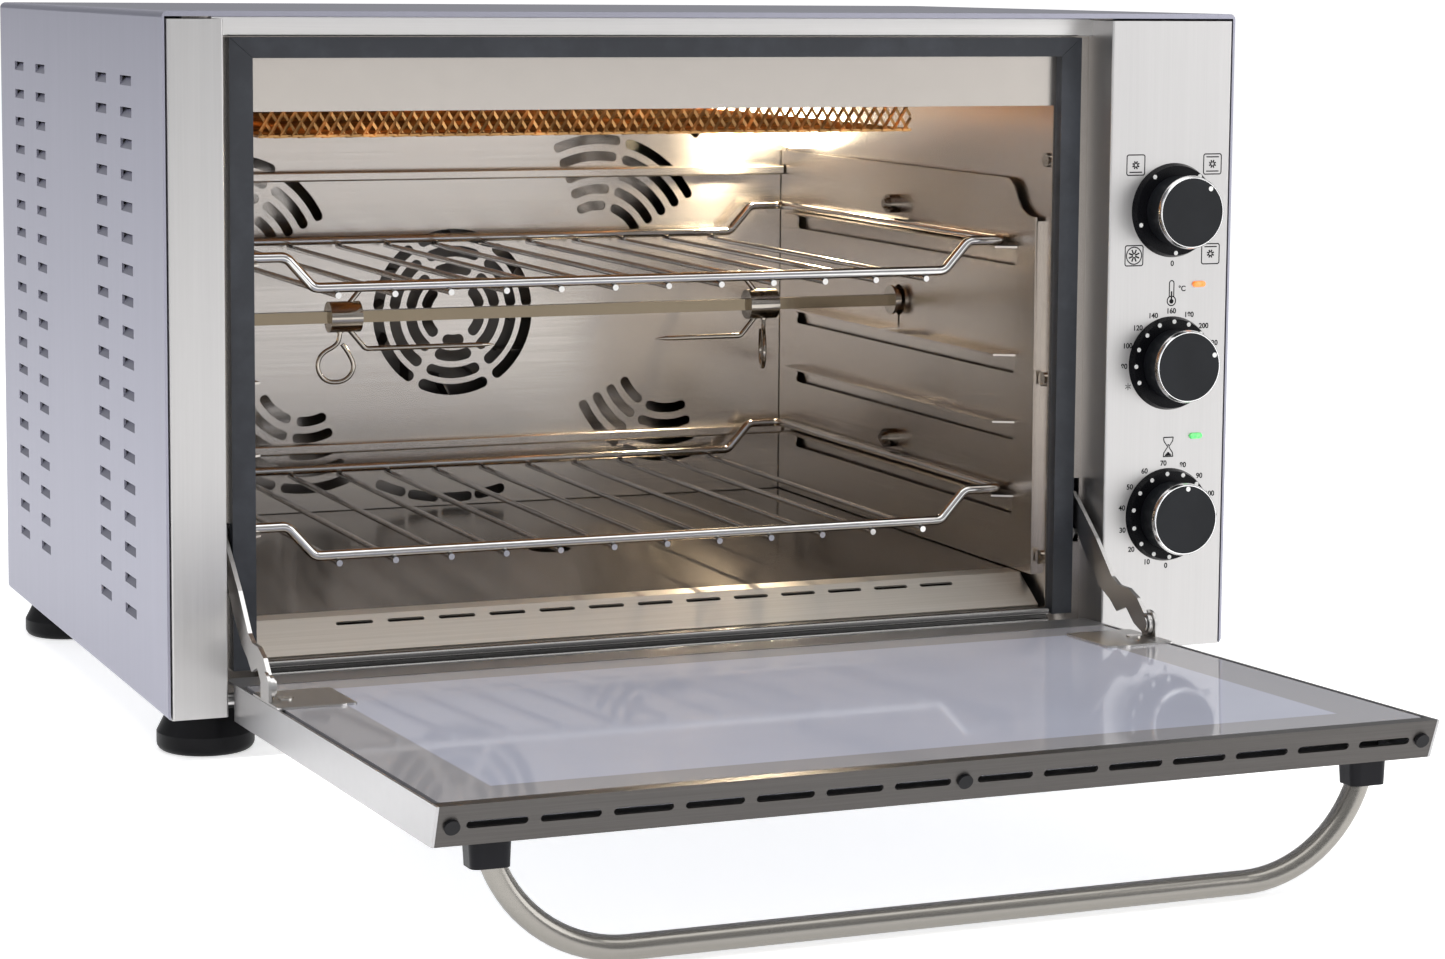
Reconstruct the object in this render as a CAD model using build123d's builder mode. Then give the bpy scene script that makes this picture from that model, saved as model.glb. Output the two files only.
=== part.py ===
"""Countertop rotisserie oven with a drop-down glass door, in millimetres.

The origin is the middle of the plane that the feet stand on. +Z is up, the door
faces -Y and the control panel is at +X. The door is modelled open, two degrees
above level, with every other moving part in its everyday place.
"""

import os
from math import asin, cos, degrees, radians, sin, sqrt

from build123d import *

os.makedirs("parts", exist_ok=True)

# ---------------------------------------------------------------- driving sizes
width = 550.0
depth = 372.0
height = 343.0
foot_height = 21.0
foot_places = [(x, y) for x in (-249.0, 249.0) for y in (-151.0, 154.0)]
foot_radius = 22.8
foot_rim = 9.0
foot_screw_radius = 2.5
sheet = 1.2
gap = 0.3  # running gap between neighbouring moving parts
shaft_gap = 0.05  # radial clearance of a shaft in its bore

front_y = -depth / 2
back_y = depth / 2
side_x = width / 2

# columns each side of the door
pillar = (-273.0, -246.9)
panel = (205.2, 273.5)
mid_x = (pillar[1] + panel[0]) / 2  # middle of the door and of the cavity
column_z = (foot_height + 0.3, 339.4)

# front frame, set back between the columns, and its opening
face_y = front_y + 24.6
face_back_y = face_y + sheet
opening_half = 206.5
opening_z = (41.0, 296.7)
gasket_half = 218.7
gasket_width = 11.0
gasket_top = 330.8
gasket_bottom = 38.5
gasket_front_y = front_y + 18.6
arm_slot_z = (74.0, 107.0)
arm_slot_width = 6.2
arm_slot_offset = 0.7  # outwards from the middle plane of an arm

# cavity
cavity_half = 207.5
cavity_z = (37.0, 321.0)
cavity_back_y = 210.8
baffle_y = 176.0
floor_top_z = 56.0
floor_half = 203.6

# runners that the racks slide on
support_half = 203.8
support_sheet = 1.0
support_y = (-150.5, 175.0)
support_z = (56.6, 258.0)
support_front_top = 239.6
runner_tops = (94.5, 133.0, 167.7, 223.5)
runner_y = (-129.0, 151.0)
runner_reach = 10.0

# racks
rail_radius = 2.5
wire_radius = 1.5
rack_rail_half = 200.3
rack_front_y = -121.0
rack_back_y = 165.3
rack_drop = 15.0
rack_bend_half = (180.0, 166.5)
rack_wires = 12
rack_wire_pitch = 28.2

# spit
spit_y = 11.0
spit_z = 183.7
spit_square = 6.0
collar_length = 16.6
collar_radius = 8.0
fork_x = {"left": -134.0, "right": 100.0}
fork_reach = {"left": 75.0, "right": 54.0}
fork_spread = 17.0
prong_radius = 1.35
eye_drop = 22.0
eye_radius = 6.6
eye_wire = 1.15
eye_offset = 2.0  # behind the middle of the collar, away from the prongs
screw_radius = 1.7

# fan
fan_z = 167.6
fan_slot = 6.4
fan_rings = (44.6, 35.0, 25.2, 16.2)

# controls
dial_x = 241.6
dial_zs = {"function": 244.6, "temperature": 167.1, "timer": 89.7}
dial_radius = 23.8
dial_thickness = 3.5
knob_radius = 18.4
knob_front_y = front_y - 19.3
spindle_radius = 3.0
lamp_window_x = 257.2
lamp_window_zs = (206.9, 129.4)

# door: its own plane has x along the hinge, y out along the door, z to its outer face
hinge_y = -178.0
hinge_z = 28.0
tilt = radians(2.0)  # of the open door above level
door_plane = Plane(
    origin=(0, hinge_y, hinge_z),
    x_dir=(1, 0, 0),
    z_dir=(0, -sin(tilt), -cos(tilt)),
)
door_half = 224.0
door_inner = -8.5
door_outer = 8.7
door_heel = -5.5
door_length = 311.5
door_bevel = 7.3
hinge_notch = 10.0  # along the door from its hinge line
notch_depth = 6.0
pin_radius = 3.0
window_half = 192.0
window_v = (28.0, 282.0)

# handle
handle_v = 292.0
handle_radius = 5.2
handle_bend = 60.0
handle_bend_half = 139.5
socket_half = 199.2
socket_depth = 11.4

# door stays
ear_v = 63.0
ear_w = -15.3
ear_radius = 6.8
stay_half = 221.1  # middle plane of each arm, either side of mid_x
stay_thickness = 2.0
ear_thickness = 1.4

MIN = (Align.CENTER, Align.CENTER, Align.MIN)
TURN = {"X": (0, 90, 0), "Y": (-90, 0, 0), "Z": (0, 0, 0)}


# ---------------------------------------------------------------- small helpers
def block(x, y, z, mode=Mode.ADD):
    """Box between (low, high) pairs along each axis of the current part."""
    with Locations(((x[0] + x[1]) / 2, (y[0] + y[1]) / 2, (z[0] + z[1]) / 2)):
        Box(x[1] - x[0], y[1] - y[0], z[1] - z[0], mode=mode)


def rod(axis, radius, start, length, mode=Mode.ADD):
    """Cylinder from start, running length along +axis."""
    with Locations(start):
        Cylinder(radius, length, rotation=TURN[axis], align=MIN, mode=mode)


def facing(y):
    """Plane at y that faces the front, with local x, y along +X, +Z."""
    return Plane.XZ.offset(-y)


def across(x):
    """Plane at x that faces +X, with local x, y along +Y, +Z."""
    return Plane.YZ.offset(x)


def outline(points):
    """Filled polygon through the points, in the current sketch."""
    with BuildLine() as edge:
        Polyline(*points, close=True)
    make_face(edge.edges())


def arc_slot(radius, start, size, slot_width, mode=Mode.ADD):
    """Round-ended slot along an arc about the current sketch location."""
    arc = Edge.make_circle(radius, start_angle=start, end_angle=start + size)
    SlotArc(arc, slot_width, mode=mode)


def finish(builder, name):
    """Labels a finished piece and writes its file."""
    builder.part.label = name
    export_step(builder.part, f"parts/{name}.step")


# ---------------------------------------------------------------- outer casing
louvre_ys = (-113.4, -61.0, 82.0, 136.0)
louvre_rows = 18
louvre_top_z = 307.5
louvre_pitch = 14.7
louvre_size = (23.0, 4.6)
louvre_lift = 3.0


def louvres(x, outward):
    """Columns of lanced louvres, cut at the sheet's outer face x and bent inwards."""
    inner = x - outward * sheet
    deep = inner - outward * louvre_lift
    for y in louvre_ys:
        slots = [louvre_top_z - row * louvre_pitch for row in range(louvre_rows)]
        with BuildSketch(facing(y + louvre_size[0] / 2)) as cut:
            for z in slots:
                top = z + louvre_size[1]
                outline([(x, z), (inner, z), (inner, top), (x, top)])
        extrude(cut.sketch, amount=louvre_size[0], mode=Mode.SUBTRACT)
        with BuildSketch(facing(y + louvre_size[0] / 2)) as tab:
            for z in slots:
                top = z + louvre_size[1]
                outline([(x, z), (inner, z), (deep, top), (deep + outward, top)])
        extrude(tab.sketch, amount=louvre_size[0])


with BuildPart() as outer_wrapper:
    with BuildSketch(facing(back_y)):
        with Locations((0, (foot_height + height) / 2)):
            RectangleRounded(width, height - foot_height, 3.0)
        with Locations((0, (foot_height + height) / 2)):
            RectangleRounded(
                width - 2 * sheet, height - foot_height - 2 * sheet, 1.8, mode=Mode.SUBTRACT
            )
    extrude(amount=depth)
    base_opening = side_x - 16
    base_z = (foot_height, foot_height + 2)
    block((-base_opening, base_opening), (front_y, back_y), base_z, Mode.SUBTRACT)
    # the columns reach down past the flange
    column_room = side_x - sheet
    block((-column_room, column_room), (front_y, face_y), (foot_height, foot_height + 4), Mode.SUBTRACT)
    # hem folded back inside the front edge
    hem = 2.4
    block((-side_x + sheet, side_x - sheet), (front_y, front_y + 9), (height - hem, height - sheet))
    louvres(-side_x, -1)
    louvres(side_x, 1)
finish(outer_wrapper, "outer_wrapper")

with BuildPart() as left_pillar:
    block(pillar, (front_y, face_y), column_z)
    block(
        (pillar[0] + sheet, pillar[1] - sheet),
        (front_y + sheet, face_y),
        (column_z[0] + sheet, column_z[1] - sheet),
        Mode.SUBTRACT,
    )
    fillet(left_pillar.edges().filter_by(Axis.Z).group_by(Axis.Y)[0], 1.0)
    rod("X", pin_radius, (pillar[1] - 4, hinge_y, hinge_z), 5, Mode.SUBTRACT)
finish(left_pillar, "left_pillar")

with BuildPart() as control_panel:
    block(panel, (front_y, face_y), column_z)
    block(
        (panel[0] + sheet, panel[1] - sheet),
        (front_y + sheet, face_y),
        (column_z[0] + sheet, column_z[1] - sheet),
        Mode.SUBTRACT,
    )
    fillet(control_panel.edges().filter_by(Axis.Z).group_by(Axis.Y)[0], 1.0)
    for z in dial_zs.values():
        rod("Y", 5.0, (dial_x, front_y - 1, z), 4, Mode.SUBTRACT)
    with BuildSketch(facing(front_y + 3)):
        with Locations(*[(lamp_window_x, z) for z in lamp_window_zs]):
            SlotOverall(7.4, 3.2)
    extrude(amount=4, mode=Mode.SUBTRACT)
    rod("X", pin_radius, (panel[0] - 1, hinge_y, hinge_z), 5, Mode.SUBTRACT)
finish(control_panel, "control_panel")

with BuildPart() as face_frame:
    with BuildSketch(facing(face_back_y)):
        frame_x = (pillar[0] + 13, panel[0] + 13)
        frame_z = (foot_height + sheet, height - hem)
        outline(
            [
                (frame_x[0], frame_z[0]),
                (frame_x[1], frame_z[0]),
                (frame_x[1], frame_z[1]),
                (frame_x[0], frame_z[1]),
            ]
        )
        with Locations((mid_x, sum(opening_z) / 2)):
            Rectangle(2 * opening_half, opening_z[1] - opening_z[0], mode=Mode.SUBTRACT)
        slot_mid = sum(arm_slot_z) / 2
        slot_half = stay_half + arm_slot_offset
        with Locations((mid_x - slot_half, slot_mid), (mid_x + slot_half, slot_mid)):
            Rectangle(arm_slot_width, arm_slot_z[1] - arm_slot_z[0], mode=Mode.SUBTRACT)
    extrude(amount=sheet)
finish(face_frame, "face_frame")

with BuildPart() as top_rail:
    rail_z = (gasket_top + 0.6, height - hem)
    block((pillar[1], panel[0]), (face_y - 3, face_y - 2), rail_z)
    block((pillar[1], panel[0]), (face_y - 2, face_y), (rail_z[1] - 1, rail_z[1]))
    block((pillar[1], panel[0]), (face_y - 2, face_y), (rail_z[0], rail_z[0] + 1))
    fillet(top_rail.edges().filter_by(Axis.X).group_by(Axis.Y)[0], 0.8)
finish(top_rail, "top_rail")

with BuildPart() as front_sill:
    sill_y = face_y - 3.4
    sill_half = 206.0
    block((mid_x - sill_half, mid_x + sill_half), (sill_y, face_y), (24.5, 42.0))
    for bead_z in (40.0, 34.6):
        rod("X", 2.0, (mid_x - sill_half, sill_y, bead_z), 2 * sill_half)
finish(front_sill, "front_sill")

with BuildPart() as door_gasket:
    gasket_in = gasket_half - gasket_width
    gasket_low_top = gasket_top - gasket_width + 1.6
    for side in (-1, 1):
        with BuildSketch(facing(face_y)):
            outline(
                [
                    (mid_x + side * gasket_half, gasket_bottom),
                    (mid_x + side * gasket_half, gasket_top),
                    (mid_x + side * gasket_in, gasket_low_top),
                    (mid_x + side * gasket_in, gasket_bottom),
                ]
            )
        extrude(amount=face_y - gasket_front_y)
    with BuildSketch(facing(face_y)):
        mitre_gap = 0.25
        outline(
            [
                (mid_x - gasket_half + mitre_gap, gasket_top),
                (mid_x + gasket_half - mitre_gap, gasket_top),
                (mid_x + gasket_in - mitre_gap, gasket_low_top),
                (mid_x - gasket_in + mitre_gap, gasket_low_top),
            ]
        )
    extrude(amount=face_y - gasket_front_y)
finish(door_gasket, "door_gasket")

pan_half = side_x - sheet - 0.2
pan_y = (face_back_y + 0.3, back_y - 1.6)
pan_z = foot_height + 3.0
with BuildPart() as base_pan:
    block((-pan_half, pan_half), pan_y, (pan_z, pan_z + sheet))
    for x in ((-pan_half, -pan_half + sheet), (pan_half - sheet, pan_half)):
        block(x, pan_y, (pan_z, pan_z + 15))
    with BuildSketch(Plane.XY.offset(pan_z)):
        with GridLocations(90, 60, 4, 3):
            SlotOverall(46, 4)
    extrude(amount=4, both=True, mode=Mode.SUBTRACT)
    for x, y in foot_places:
        rod("Z", foot_screw_radius + 0.1, (x, y, foot_height), 6, Mode.SUBTRACT)
finish(base_pan, "base_pan")

cover_x = (mid_x - 217, mid_x + 217)
cover_z = (30.0, 330.0)
cover_depth = 74.0
cover_screw_xs = (cover_x[0] - 6, cover_x[1] + 6)
cover_screw_zs = (50.0, 180.0, 310.0)
gland_x, gland_z = 243.0, 60.0


def cover_screws(radius, mode=Mode.SUBTRACT):
    """Shanks, or their holes, of the screws that hold the rear cover."""
    for x in cover_screw_xs:
        for z in cover_screw_zs:
            rod("Y", radius, (x, back_y - 5, z), 6, mode)


with BuildPart() as back_panel:
    block((-pan_half, pan_half), (back_y - sheet, back_y), (foot_height + 3, height - 3))
    liner_cut = cavity_half + 2.4
    block(
        (mid_x - liner_cut, mid_x + liner_cut),
        (back_y - 4, back_y + 4),
        (cavity_z[0] - 2.4, cavity_z[1] + 2.4),
        Mode.SUBTRACT,
    )
    rod("Y", 7.0, (gland_x, back_y - 4, gland_z), 8, Mode.SUBTRACT)
    cover_screws(1.75)
    with BuildSketch(facing(back_y)):
        with Locations((236, 250)):
            with GridLocations(1, 9, 1, 9):
                SlotOverall(34, 3.4)
    extrude(amount=4, both=True, mode=Mode.SUBTRACT)
finish(back_panel, "back_panel")

with BuildPart() as rear_cover:
    block(cover_x, (back_y, back_y + cover_depth), cover_z)
    fillet(rear_cover.edges().filter_by(Axis.X).group_by(Axis.Y)[-1], 6.0)
    block((cover_x[0] - 11, cover_x[1] + 11), (back_y, back_y + 1), cover_z)
    cover_screws(1.75)
    block(
        (cover_x[0] + 1, cover_x[1] - 1),
        (back_y, back_y + cover_depth - 1),
        (cover_z[0] + 1, cover_z[1] - 1),
        Mode.SUBTRACT,
    )
    with BuildSketch(facing(back_y + cover_depth + 2)):
        with Locations((mid_x, 180)):
            with GridLocations(58, 13, 5, 15):
                SlotOverall(44, 4.0)
    extrude(amount=5, mode=Mode.SUBTRACT)
finish(rear_cover, "rear_cover")

with BuildPart() as cable_gland:
    rod("Y", 6.9, (gland_x, back_y - 8, gland_z), 12)
    rod("Y", 11.0, (gland_x, back_y, gland_z), 4)
    with BuildSketch(facing(back_y + 14)):
        with Locations((gland_x, gland_z)):
            RegularPolygon(9.6, 6)
    extrude(amount=10.1)
    rod("Y", 7.6, (gland_x, back_y + 14, gland_z), 5)
    rod("Y", 4.0, (gland_x, back_y - 10, gland_z), 40, Mode.SUBTRACT)
finish(cable_gland, "cable_gland")

with BuildPart() as feet:
    with Locations(*[(x, y, 0) for x, y in foot_places]):
        Cylinder(foot_radius, foot_rim, align=MIN)
        with Locations((0, 0, foot_rim)):
            Cone(foot_radius, foot_radius - 6, foot_height - foot_rim, align=MIN)
    fillet(feet.faces().sort_by(Axis.Z)[:4].edges(), 4)
    for x, y in foot_places:
        rod("Z", foot_screw_radius, (x, y, foot_height - 1), 9)
finish(feet, "feet")

# ---------------------------------------------------------------- cavity
wall = cavity_half + sheet
lamp_y, lamp_z = 140.0, 273.0
liner_screw_y = -155.0
liner_screw_zs = (269.0, 157.5, 66.0)
lamp_radius = 12.5

with BuildPart() as cavity_liner:
    block(
        (mid_x - wall, mid_x + wall),
        (face_back_y, cavity_back_y + sheet),
        (cavity_z[0] - sheet, cavity_z[1] + sheet),
    )
    block(
        (mid_x - cavity_half, mid_x + cavity_half),
        (face_back_y - 1, cavity_back_y),
        cavity_z,
        Mode.SUBTRACT,
    )
    rod("X", 7.5, (mid_x + cavity_half - 1, spit_y, spit_z), 4, Mode.SUBTRACT)
    rod("X", lamp_radius, (mid_x + cavity_half - 1, lamp_y, lamp_z), 4, Mode.SUBTRACT)
    rod("Y", 5.0, (mid_x, cavity_back_y - 1, fan_z), 4, Mode.SUBTRACT)
    for z in liner_screw_zs:
        rod("X", 1.75, (mid_x - wall - 1, liner_screw_y, z), 2 * wall + 2, Mode.SUBTRACT)
finish(cavity_liner, "cavity_liner")

with BuildPart() as insulation_blanket:
    block((mid_x - 204, mid_x + 204), (-150, 183), (cavity_z[1] + 2, height - 4))
    fillet(insulation_blanket.edges().filter_by(Axis.Z), 12)
    fillet(insulation_blanket.faces().sort_by(Axis.Z)[-1].edges(), 4)
finish(insulation_blanket, "insulation_blanket")

# swirls of curved slots about each corner
outlet_pitch, outlet_width, outlet_web = 9.6, 5.6, 3.4
# centre from the fan, innermost radius, number of rings, then start, web and end angles
outlet_swirls = (
    ((88.0, 33.0), 26.6, 5, (30.0, 76.0, 112.0)),
    ((-132.0, 31.0), 29.5, 4, (26.0, 60.0, 108.0)),
)
with BuildPart() as fan_baffle:
    with BuildSketch(facing(baffle_y + sheet)):
        baffle_z = (floor_top_z + 0.4, cavity_z[1] - 0.3)
        with Locations((mid_x, sum(baffle_z) / 2)):
            Rectangle(2 * cavity_half - 0.6, baffle_z[1] - baffle_z[0])
        with Locations((mid_x, fan_z)):
            for ring in fan_rings:
                span = 60 - degrees((fan_slot + 4.2) / ring)
                for turn in range(6):
                    arc_slot(ring, 60 * turn - 90 - span / 2, span, fan_slot, Mode.SUBTRACT)
            for turn in range(4):
                arc_slot(107, 246 + 10.8 * turn, 7.0, 5.6, Mode.SUBTRACT)
        for half_turn in (0, 180):
            for offset, inner_ring, rings, (start, web, end) in outlet_swirls:
                side = -1 if half_turn else 1
                with Locations((mid_x + side * offset[0], fan_z + side * offset[1])):
                    for turn in range(rings):
                        ring = inner_ring + turn * outlet_pitch
                        half_web = degrees((outlet_web + outlet_width) / 2 / ring)
                        for low, high in ((start, web - half_web), (web + half_web, end)):
                            arc_slot(ring, low + half_turn, high - low, outlet_width, Mode.SUBTRACT)
        with Locations((mid_x + 149, 268)):
            Circle(2.6, mode=Mode.SUBTRACT)
    extrude(amount=sheet)
finish(fan_baffle, "fan_baffle")

with BuildPart() as rack_stop_bars:
    for bar_z in (246.6, 92.7):
        block(
            (mid_x - support_half + 1, mid_x + support_half - 1),
            (baffle_y - 6.2, baffle_y),
            (bar_z - 2.8, bar_z + 2.8),
        )
    fillet(rack_stop_bars.edges().filter_by(Axis.X).group_by(Axis.Y)[0], 1.2)
finish(rack_stop_bars, "rack_stop_bars")


# studs and thumb nuts that hold each side panel
nut_y = 14.0
nut_zs = (236.5, 106.8)


def rack_support(side):
    """Side panel with lanced runners, facing inwards from the wall at side."""
    face = mid_x + side * support_half
    outer = face + side * support_sheet
    low, high = min(face, outer), max(face, outer)
    rise = support_z[1] - support_front_top
    with BuildSketch(across(low)) as plate:
        with BuildLine():
            start = (support_y[0], support_z[0])
            curve_y = (support_y[0] + 1.5, support_y[0] + 36)
            Polyline(
                (curve_y[0], support_front_top),
                start,
                (support_y[1], support_z[0]),
                (support_y[1], support_z[1]),
                (curve_y[1], support_z[1]),
            )
            Bezier(
                (curve_y[1], support_z[1]),
                (curve_y[1] - 18, support_z[1]),
                (curve_y[1] - 8, support_z[1] - rise),
                (curve_y[0], support_front_top),
            )
        make_face()
    extrude(plate.sketch, amount=high - low)
    for top in runner_tops:
        with BuildSketch(across(low - 1)) as opening:
            opening_mid = ((runner_y[0] + runner_y[1]) / 2, top - support_sheet - 4.6)
            with Locations(opening_mid):
                RectangleRounded(runner_y[1] - runner_y[0], 9.2, 3.5)
        extrude(opening.sketch, amount=high - low + 2, mode=Mode.SUBTRACT)
        with BuildSketch(Plane.XY.offset(top - support_sheet)) as runner:
            reach = face - side * runner_reach
            outline(
                [
                    (outer, runner_y[0] - 1),
                    (reach, runner_y[0] + 5),
                    (reach, runner_y[1] - 5),
                    (outer, runner_y[1] + 1),
                ]
            )
        extrude(runner.sketch, amount=support_sheet)
    rod("X", 8.5, (low - 1, spit_y, spit_z), high - low + 2, Mode.SUBTRACT)
    block((low - 1, high + 1), (spit_y - 1.2, spit_y + 1.2), (163.0, spit_z), Mode.SUBTRACT)
    if side > 0:
        gap_x = (face - 12, face + 2)
    else:
        gap_x = (face - 2, face + 12)
    gap_z = (runner_tops[2] - 1.5, runner_tops[2] + 0.5)
    block(gap_x, (spit_y - 4, spit_y + 4), gap_z, Mode.SUBTRACT)
    flange = sorted((outer, mid_x + side * cavity_half))
    block(flange, (support_y[0], support_y[0] + 1), (support_z[0], support_front_top - 2))
    for nut_z in nut_zs:
        rod("X", 3.2, (low - 1, nut_y, nut_z), high - low + 2, Mode.SUBTRACT)


with BuildPart() as rack_support_left:
    rack_support(-1)
finish(rack_support_left, "rack_support_left")

with BuildPart() as rack_support_right:
    rack_support(1)
finish(rack_support_right, "rack_support_right")

with BuildPart() as thumb_nuts:
    for side in (-1, 1):
        for nut_z in nut_zs:
            stud = sorted((mid_x + side * cavity_half, mid_x + side * (support_half - 9)))
            rod("X", 2.5, (stud[0], nut_y, nut_z), stud[1] - stud[0])
            body_x = sorted((mid_x + side * support_half, mid_x + side * (support_half - 6.5)))
            rod("X", 5.2, (body_x[0], nut_y, nut_z), body_x[1] - body_x[0])
            tip_x = sorted((mid_x + side * (support_half - 6.5), mid_x + side * (support_half - 8)))
            rod("X", 3.4, (tip_x[0], nut_y, nut_z), tip_x[1] - tip_x[0])
finish(thumb_nuts, "thumb_nuts")

lip_top_y, lip_bottom = -139.0, (-159.5, 42.4)
lip_slots = 13
lip_slot_pitch = 25.6
with BuildPart() as floor_plate:
    lip_run = (lip_bottom[0] - lip_top_y, lip_bottom[1] - floor_top_z)
    lip_length = sqrt(lip_run[0] ** 2 + lip_run[1] ** 2)
    lip_dir = (0, lip_run[0] / lip_length, lip_run[1] / lip_length)
    floor_y = (lip_top_y, baffle_y - 0.4)
    block((mid_x - floor_half, mid_x + floor_half), floor_y, (floor_top_z - 1, floor_top_z))
    with BuildSketch(across(mid_x - floor_half)):
        outline(
            [
                (lip_top_y, floor_top_z),
                (lip_bottom[0], lip_bottom[1]),
                (lip_bottom[0] + 0.6, lip_bottom[1] - 0.8),
                (lip_top_y + 0.4, floor_top_z - 1),
            ]
        )
    extrude(amount=2 * floor_half)
    rod("Z", 11.3, (mid_x, spit_y, floor_top_z - 5), 10, Mode.SUBTRACT)
    lip_plane = Plane(
        origin=(mid_x, lip_top_y, floor_top_z),
        x_dir=(1, 0, 0),
        z_dir=(0, lip_dir[2], -lip_dir[1]),
    )
    with BuildSketch(lip_plane):
        with Locations((0, -5.2)):
            with GridLocations(lip_slot_pitch, 1, lip_slots, 1):
                SlotOverall(18.4, 2.4)
    extrude(amount=3, both=True, mode=Mode.SUBTRACT)
finish(floor_plate, "floor_plate")

guard_x = (mid_x - 199.0, mid_x + 134.0)
guard_y = (-147.0, 160.0)
guard_z = 285.0
guard_pitch = 5.7
with BuildPart() as grill_guard:
    block(guard_x, guard_y, (guard_z - 0.8, guard_z))
    block(guard_x, (guard_y[0], guard_y[0] + 0.8), (guard_z, opening_z[1] + 1.6))
    guard_mid_x = (guard_x[0] + guard_x[1]) / 2
    with BuildSketch(Plane.XY.offset(guard_z + 1)):
        with Locations((guard_mid_x, (guard_y[0] + guard_y[1]) / 2)):
            with GridLocations(23, 11, 14, 27):
                Polygon((-9.5, 0), (0, -4.4), (9.5, 0), (0, 4.4), align=None)
    extrude(amount=-4, mode=Mode.SUBTRACT)
    # two staggered rows of small diamonds in the front lip
    with BuildSketch(facing(guard_y[0] + 2)):
        for count, height in ((57, 3.4), (56, 7.9)):
            with Locations((guard_mid_x, guard_z + height)):
                with GridLocations(guard_pitch, 1, count, 1):
                    Polygon((-2.2, 0), (0, -2.8), (2.2, 0), (0, 2.8), align=None)
    extrude(amount=5, mode=Mode.SUBTRACT)
finish(grill_guard, "grill_guard")


heater_radius = 3.25


def heater(points, bends):
    """Sheathed heating rod bent along the points in one level plane."""
    with BuildLine() as path:
        FilletPolyline(*points, radius=bends)
    with BuildSketch(Plane(origin=path.line @ 0, z_dir=path.line % 0)) as section:
        Circle(heater_radius)
    sweep(sections=section.sketch, path=path.line)


with BuildPart() as grill_element:
    grill_left, grill_right = mid_x - 170, mid_x + 126
    grill_inner = (grill_left + 103, grill_right - 103)
    top_heater_z = 304.0
    heater(
        [
            (grill_left, 168, top_heater_z),
            (grill_left, -110, top_heater_z),
            (grill_inner[0], -110, top_heater_z),
            (grill_inner[0], 120, top_heater_z),
            (grill_inner[1], 120, top_heater_z),
            (grill_inner[1], -110, top_heater_z),
            (grill_right, -110, top_heater_z),
            (grill_right, 168, top_heater_z),
        ],
        30,
    )
finish(grill_element, "grill_element")

with BuildPart() as lower_element:
    low_heater_z = 46.0
    heater(
        [
            (mid_x - 150, 168, low_heater_z),
            (mid_x - 150, -100, low_heater_z),
            (mid_x + 150, -100, low_heater_z),
            (mid_x + 150, 168, low_heater_z),
        ],
        40,
    )
finish(lower_element, "lower_element")

ring_y, ring_radius, ring_end_x = 193.0, 84.0, 9.0
with BuildPart() as ring_element:
    with Locations(Location((mid_x, ring_y, fan_z), (90, 0, 0))):
        Torus(ring_radius, heater_radius)
    ring_end_z = fan_z + sqrt(ring_radius**2 - ring_end_x**2)
    for x in (-ring_end_x, ring_end_x):
        rod("Y", heater_radius, (mid_x + x, ring_y, ring_end_z), cavity_back_y - 0.1 - ring_y)
    # break at the top of the ring
    top_z = (fan_z + ring_radius - 8, fan_z + ring_radius + 8)
    block((mid_x - 5.2, mid_x + 5.2), (180, 206), top_z, Mode.SUBTRACT)
finish(ring_element, "ring_element")

# ---------------------------------------------------------------- fan
fan_front_y, fan_back_y = 181.0, 201.0
with BuildPart() as fan_impeller:
    rod("Y", 62.0, (mid_x, fan_back_y - 1, fan_z), 1)
    rod("Y", 9.0, (mid_x, fan_front_y + 3, fan_z), fan_back_y - fan_front_y - 3)
    rod("Y", 5.5, (mid_x, fan_front_y, fan_z), 4)
    with BuildSketch(facing(fan_back_y)):
        with Locations((mid_x, fan_z)):
            with PolarLocations(48, 12):
                Rectangle(26, 1.2, rotation=28)
    extrude(amount=fan_back_y - fan_front_y - 2)
    rod("Y", 3.0, (mid_x, fan_back_y, fan_z), 26)
finish(fan_impeller, "fan_impeller")

with BuildPart() as fan_motor:
    motor_y = cavity_back_y + sheet
    block((mid_x - 26, mid_x + 26), (motor_y + 3, motor_y + 5), (fan_z - 34, fan_z + 34))
    block((mid_x - 30, mid_x + 30), (motor_y + 5, motor_y + 27), (fan_z - 30, fan_z + 30))
    rod("Y", 17.0, (mid_x, motor_y + 27, fan_z), 12)
    rod("Y", 6.5, (mid_x, motor_y + 39, fan_z), 4)
    fillet(fan_motor.faces().sort_by(Axis.Y)[-1].edges(), 1.5)
    rod("Y", 3.0 + shaft_gap, (mid_x, motor_y, fan_z), 18, Mode.SUBTRACT)
    with Locations((mid_x, motor_y + 1.5, fan_z - 29), (mid_x, motor_y + 1.5, fan_z + 29)):
        Box(14, 3, 8)
finish(fan_motor, "fan_motor")

# ---------------------------------------------------------------- spit drive and spit
socket_radius = 6.0
square = spit_square / 2
wall_x = mid_x + wall
socket_x = (mid_x + support_half - 4, wall_x + 16)
with BuildPart() as drive_socket:
    rod("X", socket_radius, (socket_x[0], spit_y, spit_z), socket_x[1] - socket_x[0])
    rod("X", 8.0, (socket_x[0] - 1.6, spit_y, spit_z), 1.6)
    block(
        (socket_x[0] - 4, wall_x + 4),
        (spit_y - square, spit_y + square),
        (spit_z - square, spit_z + square),
        Mode.SUBTRACT,
    )
finish(drive_socket, "drive_socket")

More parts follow.
